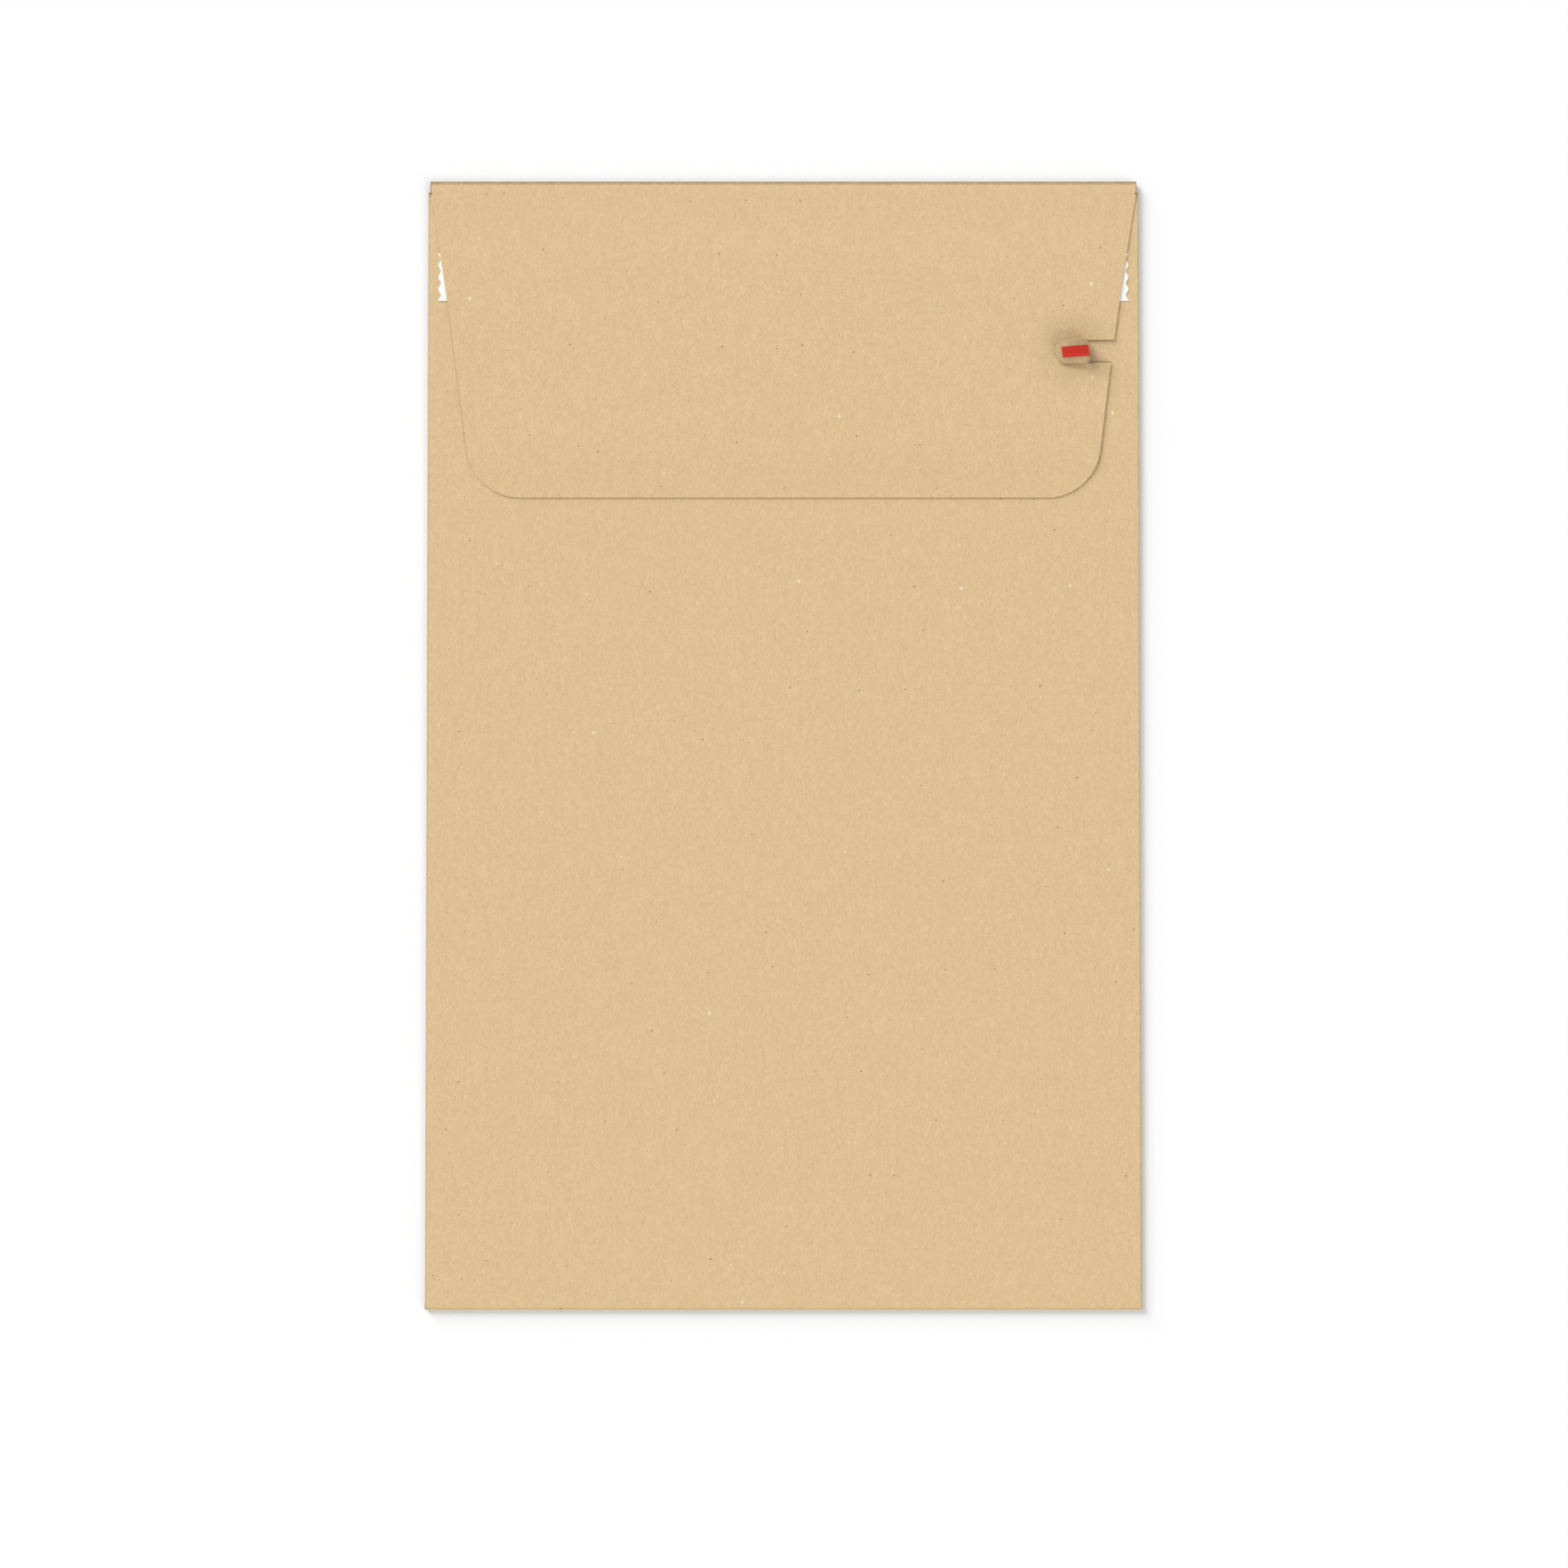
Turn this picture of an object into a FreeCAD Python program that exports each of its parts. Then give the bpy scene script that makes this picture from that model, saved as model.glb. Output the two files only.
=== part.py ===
"""Gusseted paper mailing bag, empty and pressed flat, with its flap folded over and not yet stuck.

The bag lies on its address side. +X runs across the bag, +Y towards the top fold of the flap, +Z up
towards the flap side, and the origin is on the ground under the middle of the bag. Millimetres.

The bag is one folded sheet: a tube with a gusset folded into each side, a turned-under bottom flap,
and a closing flap with a tear tab. Two adhesive strips under their release liners and the red tear
tape are pieces of their own. What lies on the closing flap is drawn in the flap's own frame: its
origin is the centre of the top fold, and its XY plane is parallel to the flap.
"""
import FreeCAD
import Part
import Sketcher
import math
import os
from collections import namedtuple

SIZES = (
    ("body_width", 250.0, "width of the flat bag over its side folds"),
    ("body_length", 395.8, "length of the closed bag from bottom fold to top fold"),
    ("paper", 0.18, "thickness of the kraft paper"),
    ("layer_gap", 0.25, "air between two layers of the pressed bag"),
    ("gusset_depth", 25.0, "how far each gusset is folded in from the side"),
    ("bottom_flap", 22.0, "width of the flap turned under at the bottom"),
    ("mouth_drop", 4.0, "how far the mouth edge lies below the top fold"),
    ("neck_inset", 0.75, "how much narrower the flap's neck is than the bag, each side"),
    ("roll_radius", 0.95, "outside radius of the top fold, which lays the flap just over the bag"),
    ("flap_length", 111.8, "length of the flap from the top fold to its free edge"),
    ("flap_taper", 14.6, "how much narrower the flap is at its free edge, each side"),
    ("flap_bow", 0.6, "how far the flap's sides curve in"),
    ("flap_corner", 19.0, "radius of the flap's corners"),
    ("flap_rest_gap", 0.55, "gap under the flap's free edge, which springs up a little"),
    ("tear_drop", 60.1, "how far the tear line lies below the top fold"),
    ("tab_width", 7.5, "width of the pull tab"),
    ("slit_gap", 0.1, "gap of the slit on each side of the tab"),
    ("slit_length", 10.7, "length of the slits in from the flap's side"),
    ("curl_radius", 1.4, "inside radius of the curl that turns the tab back"),
    ("leaf_length", 10.2, "straight length of the tab beyond its curl"),
    ("tip_lift", 0.6, "height of the tab's tip over the flap"),
    ("tip_radius", 3.5, "corner radius of the tab's tip"),
    ("tape_width", 3.8, "width of the tear tape"),
    ("tape_thickness", 0.1, "thickness of the tear tape"),
    ("tape_end_gap", 2.3, "bare paper between the tape's end and the tab's tip"),
    ("liner_width", 16.8, "width of the release liners"),
    ("liner_thickness", 0.1, "thickness of the release liners"),
    ("liner_teeth", 4, "teeth across a liner's serrated end"),
    ("tooth_depth", 1.0, "depth of those teeth"),
    ("adhesive_width", 12.0, "width of the adhesive strips"),
    ("adhesive_thickness", 0.08, "thickness of the adhesive strips"),
    ("adhesive_end_gap", 3.0, "liner beyond each end of its adhesive"),
    ("return_drop", 25.1, "how far the return strip lies below the top fold"),
    ("return_inset", 3.4, "bare paper between the return liner and the side folds"),
    ("closing_inset", 1.5, "how much shorter the closing liner is than the free edge, each end"),
)

# The pressed tube has four layers at its sides, which stand on the one layer of the bottom flap.
TUBE_HEIGHT = "(4 * sizes.paper + 3 * sizes.layer_gap)"
TUBE_TOP = "(5 * sizes.paper + 3 * sizes.layer_gap)"
TUBE_MIDDLE = "(3 * sizes.paper + 1.5 * sizes.layer_gap)"
CREASE_OUTER = "(sizes.paper + sizes.layer_gap / 2)"
CREASE_INNER = "(sizes.layer_gap / 2)"
HALF_WIDTH = "(sizes.body_width / 2)"
TOP_FOLD = "(sizes.body_length / 2)"
MOUTH = "(sizes.body_length / 2 - sizes.mouth_drop)"

# The bottom turn goes round the end of the tube.
BOTTOM_OUTER = "((%s + sizes.paper) / 2)" % TUBE_HEIGHT
BOTTOM_INNER = "((%s - sizes.paper) / 2)" % TUBE_HEIGHT
TUBE_END = "(%s - sizes.body_length / 2)" % BOTTOM_OUTER

# Centre of the top fold, and the slight tilt at which the flap rises from it to its free edge.
ROLL_Y = "(%s - sizes.roll_radius)" % TOP_FOLD
ROLL_Z = "(sizes.paper + sizes.roll_radius)"
ROLL_INNER = "(sizes.roll_radius - sizes.paper)"
FLAP_REACH = "(sizes.flap_length - sizes.roll_radius)"
FLAP_RISE = "(%s + sizes.flap_rest_gap - 2 * sizes.roll_radius)" % TUBE_TOP
FLAP_TILT = "asin(%s / %s)" % (FLAP_RISE, FLAP_REACH)
FLAP_FRAME = "placement(vector(0; %s; %s); rotation(vector(1; 0; 0); -%s))" % (ROLL_Y, ROLL_Z, FLAP_TILT)
UNTURNED = "rotation(vector(0; 0; 1); 0)"

# Places in the flap's frame.
NECK_HALF = "(%s - sizes.neck_inset)" % HALF_WIDTH
FLAP_END_HALF = "(%s - sizes.flap_taper)" % NECK_HALF
SHOULDER_Y = "(sizes.roll_radius - sizes.mouth_drop)"
TEAR_Y = "(sizes.roll_radius - sizes.tear_drop)"
TAPER_AT_TEAR = ("(sizes.flap_taper * (sizes.tear_drop - sizes.mouth_drop)"
                 " / (sizes.flap_length - sizes.mouth_drop))")
TAB_ROOT = "(%s - %s - sizes.slit_length)" % (NECK_HALF, TAPER_AT_TEAR)
CURL_Z = "(sizes.roll_radius + sizes.curl_radius)"
CURL_OUTER = "(sizes.curl_radius + sizes.paper)"
TAPE_OUTER = "(sizes.curl_radius + sizes.paper + sizes.tape_thickness)"
LEAF_SLOPE = "asin((2 * sizes.curl_radius - sizes.tip_lift) / sizes.leaf_length)"

# Two lengths closer than this are the same.
LENGTH_MATCH = 1e-6

Turn = namedtuple("Turn", "x y radius begin end")


def make_sheet(doc):
    """Put every driving size in the spreadsheet under its alias."""
    sheet = doc.addObject("Spreadsheet::Sheet", "sizes")
    for row, (alias, value, meaning) in enumerate(SIZES, start=1):
        sheet.set("A%d" % row, str(value))
        sheet.setAlias("A%d" % row, alias)
        sheet.set("B%d" % row, meaning)
    doc.recompute()


def number(holder, expression):
    """Work out an expression over the sizes as a plain number."""
    value = holder.evalExpression(expression)
    return float(getattr(value, "Value", value))


def new_sketch(body, name, role, shift="0"):
    """Start a sketch on one of the body's origin planes, shifted along that plane's normal."""
    sketch = body.newObject("Sketcher::SketchObject", name)
    sketch.AttachmentSupport = [(origin_item(body, role), "")]
    sketch.MapMode = "FlatFace"
    sketch.setExpression(".AttachmentOffset.Base.z", shift)
    return sketch


def bind(sketch, kind, *parts):
    """Add a dimension whose last part is an expression, and bind it to that expression."""
    expression = parts[-1]
    index = sketch.addConstraint(Sketcher.Constraint(kind, *parts[:-1], measure(sketch, kind, expression)))
    sketch.setExpression("Constraints[%d]" % index, expression)


def measure(sketch, kind, expression):
    """Give a dimension's first value: an angle in radians, or a length."""
    value = number(sketch, expression)
    return math.radians(value) if kind == "Angle" else value


def pin(sketch, geometry, point, x, y):
    """Fix a point of a sketch at its distances from the sketch's origin."""
    bind(sketch, "DistanceX", -1, 1, geometry, point, x)
    bind(sketch, "DistanceY", -1, 1, geometry, point, y)


def draw_outline(sketch, corners, closed=True):
    """Draw straight lines through fixed corners; returns the lines."""
    points = [FreeCAD.Vector(number(sketch, x), number(sketch, y), 0) for x, y in corners]
    ends = points[1:] + points[:1] if closed else points[1:]
    lines = [sketch.addGeometry(Part.LineSegment(a, b)) for a, b in zip(points, ends)]
    following = lines[1:] + lines[:1] if closed else lines[1:]
    for line, after in zip(lines, following):
        sketch.addConstraint(Sketcher.Constraint("Coincident", line, 2, after, 1))
    for line, (x, y) in zip(lines, corners):
        pin(sketch, line, 1, x, y)
    if not closed:
        pin(sketch, lines[-1], 2, *corners[-1])
    return lines


def draw_rectangle(sketch, half_width, low, high):
    """Draw a rectangle that is centred on the sketch's vertical axis."""
    left = "-%s" % half_width
    draw_outline(sketch, [(left, low), (half_width, low), (half_width, high), (left, high)])


def on_turn(sketch, turn, angle):
    """Point of a turn at an angle given in degrees."""
    radius = number(sketch, turn.radius)
    across = number(sketch, turn.x) + radius * math.cos(math.radians(angle))
    along = number(sketch, turn.y) + radius * math.sin(math.radians(angle))
    return FreeCAD.Vector(across, along, 0)


def draw_turn(sketch, turn):
    """Draw one round turn, its centre fixed; returns the arc and its entry and exit points."""
    begin, end = number(sketch, turn.begin), number(sketch, turn.end)
    centre = FreeCAD.Vector(number(sketch, turn.x), number(sketch, turn.y), 0)
    circle = Part.Circle(centre, FreeCAD.Vector(0, 0, 1), number(sketch, turn.radius))
    low, high = math.radians(min(begin, end)), math.radians(max(begin, end))
    arc = sketch.addGeometry(Part.ArcOfCircle(circle, low, high))
    pin(sketch, arc, 3, turn.x, turn.y)
    bind(sketch, "Radius", arc, turn.radius)
    return (arc, 1, 2) if begin < end else (arc, 2, 1)


def draw_face(sketch, turns, lead_in=None, tail=None):
    """Draw one face of a folded sheet: round turns with straight runs tangent to them.

    lead_in and tail are where the face starts before its first turn and ends after its last one, or
    None where it has no straight run there. Returns the (geometry, point) of the face's two ends.
    """
    place, start, finish = lead_in, None, None
    for turn in turns:
        arc, entry, leave = draw_turn(sketch, turn)
        if place is None:
            start = (arc, entry)
        else:
            touch = on_turn(sketch, turn, number(sketch, turn.begin))
            run = sketch.addGeometry(Part.LineSegment(place, touch))
            sketch.addConstraint(Sketcher.Constraint("Tangent", run, 2, arc, entry))
            if finish is None:
                start = (run, 1)
            else:
                sketch.addConstraint(Sketcher.Constraint("Tangent", finish[0], finish[1], run, 1))
        finish = (arc, leave)
        place = on_turn(sketch, turn, number(sketch, turn.end))
    if tail is not None:
        run = sketch.addGeometry(Part.LineSegment(place, tail))
        sketch.addConstraint(Sketcher.Constraint("Tangent", finish[0], finish[1], run, 1))
        finish = (run, 2)
    return start, finish


def close_end(sketch, first, second):
    """Join the two faces of a folded sheet at one end with the paper's cut edge; returns that edge."""
    points = [sketch.getPoint(*end) for end in (first, second)]
    edge = sketch.addGeometry(Part.LineSegment(*points))
    sketch.addConstraint(Sketcher.Constraint("Coincident", edge, 1, *first))
    sketch.addConstraint(Sketcher.Constraint("Coincident", edge, 2, *second))
    return edge


def pad(body, name, sketch, length, side="One side"):
    """Thicken a sketch into the body, to one side of it or on both."""
    feature = body.newObject("PartDesign::Pad", name)
    feature.Profile = sketch
    feature.SideType = side
    feature.setExpression("Length", length)
    return feature


def cut_through(body, name, sketch):
    """Cut a sketch through the whole body, on both sides of the sketch."""
    feature = body.newObject("PartDesign::Pocket", name)
    feature.Profile = sketch
    feature.Type = "ThroughAll"
    feature.SideType = "Symmetric"
    return feature


def origin_item(body, role):
    """One of the body's own origin planes or axes."""
    return next(item for item in body.Origin.OriginFeatures if item.Role == role)


def mirror(body, name, original):
    """Repeat a feature on the other side of the body's middle plane."""
    feature = body.newObject("PartDesign::Mirrored", name)
    feature.Originals = [original]
    feature.MirrorPlane = (origin_item(body, "YZ_Plane"), [""])
    body.Tip = feature
    return feature


def round_corners(body, name, base, wanted, radius):
    """Round the paper's corners: its edges through the thickness whose middle passes the test."""
    body.Document.recompute()
    thickness = number(body, "sizes.paper")
    names = ["Edge%d" % index for index, edge in enumerate(base.Shape.Edges, start=1)
             if abs(edge.Length - thickness) < LENGTH_MATCH and wanted(edge.CenterOfMass)]
    feature = body.newObject("PartDesign::Fillet", name)
    feature.Base = (base, names)
    feature.setExpression("Radius", radius)
    return feature


def new_body(doc, name, placement=None):
    """Start a body, in the bag's frame or in the one that the expression places."""
    body = doc.addObject("PartDesign::Body", name)
    body.Label = name
    if placement:
        body.setExpression("Placement", placement)
    return body


def draw_tube_half(sketch):
    """Draw the +X half of the tube's section: both panels and the gusset folded in between them."""
    crease_x = "(%s - %s)" % (HALF_WIDTH, CREASE_OUTER)
    low_z = "(sizes.paper + %s)" % CREASE_OUTER
    high_z = "(%s - %s)" % (TUBE_TOP, CREASE_OUTER)
    gusset_x = "(%s - sizes.gusset_depth + %s)" % (HALF_WIDTH, CREASE_OUTER)
    ends = []
    for crease, gusset, low_y, high_y in (
            (CREASE_OUTER, CREASE_INNER, "sizes.paper", TUBE_TOP),
            (CREASE_INNER, CREASE_OUTER, "2 * sizes.paper", "%s - sizes.paper" % TUBE_TOP)):
        turns = [Turn(crease_x, low_z, crease, "-90", "90"),
                 Turn(gusset_x, TUBE_MIDDLE, gusset, "270", "90"),
                 Turn(crease_x, high_z, crease, "-90", "90")]
        low, high = (FreeCAD.Vector(0, number(sketch, y), 0) for y in (low_y, high_y))
        start, finish = draw_face(sketch, turns, low, high)
        for line, point in (start, finish):
            sketch.addConstraint(Sketcher.Constraint("Horizontal", line))
            sketch.addConstraint(Sketcher.Constraint("PointOnObject", line, point, -2))
        ends.append((start, finish))
    (outer_start, outer_finish), (inner_start, inner_finish) = ends
    close_end(sketch, outer_start, inner_start)
    close_end(sketch, outer_finish, inner_finish)


def draw_bottom_turn(sketch):
    """Draw the rear panel's way round the end of the tube and back under the front panel."""
    ends = []
    for radius, level in ((BOTTOM_OUTER, "0"), (BOTTOM_INNER, "sizes.paper")):
        turn = Turn(TUBE_END, BOTTOM_OUTER, radius, "90", "270")
        reach = number(sketch, "%s + sizes.bottom_flap" % TUBE_END)
        tail = FreeCAD.Vector(reach, number(sketch, level), 0)
        start, finish = draw_face(sketch, [turn], tail=tail)
        sketch.addConstraint(Sketcher.Constraint("Horizontal", finish[0]))
        bind(sketch, "DistanceX", -1, 1, *finish, "%s + sizes.bottom_flap" % TUBE_END)
        ends.append((start, finish))
    (outer_start, outer_finish), (inner_start, inner_finish) = ends
    close_end(sketch, outer_finish, inner_finish)
    sketch.addConstraint(Sketcher.Constraint("Vertical", close_end(sketch, outer_start, inner_start)))
    sketch.addConstraint(Sketcher.Constraint("Vertical", outer_start[0], 3, *outer_start))


def draw_neck_and_roll(sketch):
    """Draw the front panel's way on past the mouth and round the top fold."""
    mouth = number(sketch, MOUTH)
    ends = []
    for radius, level in (("sizes.roll_radius", "sizes.paper"), (ROLL_INNER, "2 * sizes.paper")):
        turn = Turn(ROLL_Y, ROLL_Z, radius, "-90", "90 deg - %s" % FLAP_TILT)
        lead_in = FreeCAD.Vector(mouth, number(sketch, level), 0)
        start, finish = draw_face(sketch, [turn], lead_in=lead_in)
        sketch.addConstraint(Sketcher.Constraint("Horizontal", start[0]))
        bind(sketch, "DistanceX", -1, 1, *start, MOUTH)
        ends.append((start, finish))
    (outer_start, outer_finish), (inner_start, inner_finish) = ends
    close_end(sketch, outer_start, inner_start)
    seam = close_end(sketch, inner_finish, outer_finish)
    bind(sketch, "Angle", -1, 1, seam, 1, "90 deg - %s" % FLAP_TILT)
    sketch.addConstraint(Sketcher.Constraint("PointOnObject", outer_finish[0], 3, seam))


def make_tube(doc):
    """Tube with its side gussets, the bottom flap turned under it, and the neck up to the flap."""
    body = new_body(doc, "tube")
    section = new_sketch(body, "tube_section", "XZ_Plane", "-%s" % MOUTH)
    draw_tube_half(section)
    half = pad(body, "tube_half", section, "%s - %s" % (MOUTH, TUBE_END))
    mirror(body, "tube_sides", half)
    turn = new_sketch(body, "bottom_section", "YZ_Plane")
    draw_bottom_turn(turn)
    pad(body, "bottom_turn", turn, "2 * (%s - %s)" % (HALF_WIDTH, CREASE_OUTER), "Symmetric")
    roll = new_sketch(body, "roll_section", "YZ_Plane")
    draw_neck_and_roll(roll)
    pad(body, "neck_and_roll", roll, "2 * %s" % NECK_HALF, "Symmetric")
    return body


def draw_side_waste(sketch, side):
    """Draw what is cut off beside the flap, at +X for side "" and at -X for side "-"."""
    outside = "%s(%s + sizes.flap_taper)" % (side, HALF_WIDTH)
    free_edge = "-%s" % FLAP_REACH
    lines = draw_outline(sketch, [("%s%s" % (side, NECK_HALF), SHOULDER_Y),
                                  (outside, SHOULDER_Y),
                                  (outside, "%s - sizes.flap_taper" % free_edge),
                                  ("%s%s" % (side, FLAP_END_HALF), free_edge)], closed=False)
    draw_bowed_side(sketch, (lines[-1], 2), (lines[0], 1), side)


def draw_bowed_side(sketch, low_end, high_end, side):
    """Draw the flap's side between two fixed points, bowed in towards the middle of the flap."""
    low, high = sketch.getPoint(*low_end), sketch.getPoint(*high_end)
    inward = FreeCAD.Vector(1 if side else -1, 0, 0)
    middle = (low + high) / 2 + inward * number(sketch, "sizes.flap_bow")
    arc = sketch.addGeometry(Part.Arc(low, middle, high))
    first, last = (1, 2) if sketch.getPoint(arc, 1).isEqual(low, LENGTH_MATCH) else (2, 1)
    sketch.addConstraint(Sketcher.Constraint("Coincident", arc, first, *low_end))
    sketch.addConstraint(Sketcher.Constraint("Coincident", arc, last, *high_end))
    run = "(sizes.flap_length - sizes.mouth_drop)"
    half_chord_squared = "((%s ^ 2 + sizes.flap_taper ^ 2) / 4)" % run
    bind(sketch, "Radius", arc, "(%s + sizes.flap_bow ^ 2) / (2 * sizes.flap_bow)" % half_chord_squared)


def draw_curl(sketch, inner, outer, leaf, lead_in=None):
    """Draw a strip that turns back round the curl and runs on as a straight leaf over the flap.

    It starts at the tab's root or, with lead_in, at that place along the flap's inside.
    """
    slope = math.radians(number(sketch, LEAF_SLOPE))
    ends = []
    for radius in (outer, inner):
        turn = Turn(TAB_ROOT, CURL_Z, radius, "-90 deg", "90 deg + %s" % LEAF_SLOPE)
        level = number(sketch, "%s - %s" % (CURL_Z, radius))
        begin = FreeCAD.Vector(number(sketch, lead_in), level, 0) if lead_in else None
        along = FreeCAD.Vector(math.cos(slope), math.sin(slope), 0)
        tip = on_turn(sketch, turn, number(sketch, turn.end)) - along * number(sketch, leaf)
        start, finish = draw_face(sketch, [turn], lead_in=begin, tail=tip)
        bind(sketch, "Distance", finish[0], leaf)
        if lead_in:
            sketch.addConstraint(Sketcher.Constraint("Horizontal", start[0]))
        ends.append((start, finish))
    (outer_start, outer_finish), (inner_start, inner_finish) = ends
    bind(sketch, "Angle", -1, 1, outer_finish[0], 1, "180 deg + %s" % LEAF_SLOPE)
    sketch.addConstraint(Sketcher.Constraint("Parallel", outer_finish[0], inner_finish[0]))
    close_end(sketch, outer_finish, inner_finish)
    sketch.addConstraint(Sketcher.Constraint("Vertical", close_end(sketch, outer_start, inner_start)))
    if lead_in:
        bind(sketch, "DistanceX", -1, 1, *outer_start, lead_in)
    else:
        sketch.addConstraint(Sketcher.Constraint("Vertical", outer_start[0], 3, *outer_start))


def make_panel(body):
    """Flat panel of the flap, cut to its tapered sides."""
    outline = new_sketch(body, "flap_outline", "XY_Plane", ROLL_INNER)
    draw_rectangle(outline, NECK_HALF, "-%s" % FLAP_REACH, "0")
    pad(body, "flap_panel", outline, "sizes.paper")
    waste = new_sketch(body, "flap_side", "XY_Plane")
    draw_side_waste(waste, "")
    side = cut_through(body, "flap_side_cut", waste)
    return mirror(body, "flap_sides", side)


def cut_tab_opening(body):
    """Slits on both sides of the tear tab, and the opening that the tab leaves as it is turned back."""
    opening = new_sketch(body, "tab_slits", "XY_Plane")
    reach = "(sizes.tab_width / 2 + sizes.slit_gap)"
    low, high = "%s - %s" % (TEAR_Y, reach), "%s + %s" % (TEAR_Y, reach)
    draw_outline(opening, [(TAB_ROOT, low), (HALF_WIDTH, low), (HALF_WIDTH, high), (TAB_ROOT, high)])
    return cut_through(body, "tab_opening", opening)


def add_tab(body):
    """Pull tab, curled up and back over the flap, with its round tip."""
    section = new_sketch(body, "tab_section", "XZ_Plane", "-%s" % TEAR_Y)
    draw_curl(section, "sizes.curl_radius", CURL_OUTER, "sizes.leaf_length")
    tab = pad(body, "tab", section, "sizes.tab_width", "Symmetric")
    above_flap = number(body, "sizes.roll_radius + sizes.tip_lift / 2")
    round_corners(body, "tab_tip", tab, lambda middle: middle.z > above_flap, "sizes.tip_radius")


def make_flap(doc):
    """Closing flap with its tapered sides, its round corners and its tear tab."""
    body = new_body(doc, "flap", FLAP_FRAME)
    make_panel(body)
    opened = cut_tab_opening(body)
    free_edge = -number(body, FLAP_REACH)
    round_corners(body, "flap_corners", opened, lambda middle: middle.y < free_edge + LENGTH_MATCH,
                  "sizes.flap_corner")
    add_tab(body)
    return body


def make_paper_bag(doc):
    """The whole bag as the one folded sheet that it is."""
    bag = doc.addObject("Part::MultiFuse", "paper_bag")
    bag.Label = "paper_bag"
    bag.Shapes = [make_tube(doc), make_flap(doc)]
    bag.Refine = True
    return bag


def make_tear_tape(doc):
    """Red tape on the inside of the flap along the tear line, round the curl and onto the tab."""
    body = new_body(doc, "tear_tape", FLAP_FRAME)
    section = new_sketch(body, "tape_section", "XZ_Plane", "-%s" % TEAR_Y)
    leaf = "(sizes.leaf_length - sizes.tape_end_gap)"
    draw_curl(section, CURL_OUTER, TAPE_OUTER, leaf, lead_in="-%s" % NECK_HALF)
    pad(body, "tape", section, "sizes.tape_width", "Symmetric")
    waste = new_sketch(body, "tape_side", "XY_Plane")
    draw_side_waste(waste, "-")
    cut_through(body, "tape_end_cut", waste)
    return body


def strip_frame(on_flap, centre, low, high):
    """Placement of a strip whose faces lie low and high above what carries it.

    It lies on the rear panel or, on the flap, hangs under the flap's inside.
    """
    if on_flap:
        level = "%s - %s" % (ROLL_INNER, high)
        return "%s * placement(vector(0; %s; %s); %s)" % (FLAP_FRAME, centre, level, UNTURNED)
    return "placement(vector(0; %s; %s + %s); %s)" % (centre, TUBE_TOP, low, UNTURNED)


def make_adhesive(doc, name, on_flap, centre, half_length):
    """Strip of adhesive under a release liner."""
    body = new_body(doc, name, strip_frame(on_flap, centre, "0", "sizes.adhesive_thickness"))
    outline = new_sketch(body, name + "_outline", "XY_Plane")
    half = "(%s - sizes.tooth_depth - sizes.adhesive_end_gap)" % half_length
    draw_rectangle(outline, half, "-sizes.adhesive_width / 2", "sizes.adhesive_width / 2")
    pad(body, name + "_strip", outline, "sizes.adhesive_thickness")
    return body


def make_liner(doc, name, on_flap, centre, half_length):
    """Release liner over the adhesive, with a serrated cut at both ends."""
    high = "(sizes.adhesive_thickness + sizes.liner_thickness)"
    body = new_body(doc, name, strip_frame(on_flap, centre, "sizes.adhesive_thickness", high))
    outline = new_sketch(body, name + "_outline", "XY_Plane")
    draw_rectangle(outline, half_length, "-sizes.liner_width / 2", "sizes.liner_width / 2")
    pad(body, name + "_strip", outline, "sizes.liner_thickness")
    notches = new_sketch(body, name + "_notches", "XY_Plane")
    pitch = "(sizes.liner_width / sizes.liner_teeth)"
    low = "-sizes.liner_width / 2"
    for side in ("", "-"):
        tip = "%s%s" % (side, half_length)
        valley = "%s(%s - sizes.tooth_depth)" % (side, half_length)
        draw_outline(notches, [(tip, low),
                               (tip, "%s + %s" % (low, pitch)),
                               (valley, "%s + %s / 2" % (low, pitch))])
    first = cut_through(body, name + "_first_notches", notches)
    row = body.newObject("PartDesign::LinearPattern", name + "_teeth")
    row.Originals = [first]
    row.Direction = (origin_item(body, "Y_Axis"), [""])
    row.setExpression("Length", "sizes.liner_width - %s" % pitch)
    row.setExpression("Occurrences", "sizes.liner_teeth")
    body.Tip = row
    return body


def make_strips(doc):
    """The return strip on the rear panel and the closing strip on the inside of the flap."""
    return_y = "(%s - sizes.return_drop - sizes.liner_width / 2)" % TOP_FOLD
    return_half = "(%s - sizes.return_inset)" % HALF_WIDTH
    closing_y = "(sizes.roll_radius - (sizes.tear_drop + sizes.flap_length) / 2)"
    closing_half = "(%s - sizes.closing_inset)" % FLAP_END_HALF
    return [make_adhesive(doc, "return_adhesive", False, return_y, return_half),
            make_liner(doc, "return_liner", False, return_y, return_half),
            make_adhesive(doc, "closing_adhesive", True, closing_y, closing_half),
            make_liner(doc, "closing_liner", True, closing_y, closing_half)]


def check(doc, parts):
    """Stop if any object failed to compute or any sub-part is not one sound solid."""
    for item in doc.Objects:
        if "Invalid" in item.State or "Error" in item.State:
            raise RuntimeError("%s failed to compute: %s" % (item.Name, item.State))
    for part in parts:
        shape = part.Shape
        if shape.isNull() or not shape.isValid() or len(shape.Solids) != 1:
            raise RuntimeError("%s is not one valid solid" % part.Label)


def main():
    """Build the bag and write each of its pieces to parts/."""
    doc = FreeCAD.newDocument("gusseted_mailing_bag")
    make_sheet(doc)
    parts = [make_paper_bag(doc), make_tear_tape(doc)] + make_strips(doc)
    doc.recompute()
    check(doc, parts)
    os.makedirs("parts", exist_ok=True)
    for part in parts:
        part.Shape.exportStep("parts/%s.step" % part.Label)
        print("%s: %.1f mm3" % (part.Label, part.Shape.Volume))


main()
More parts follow.
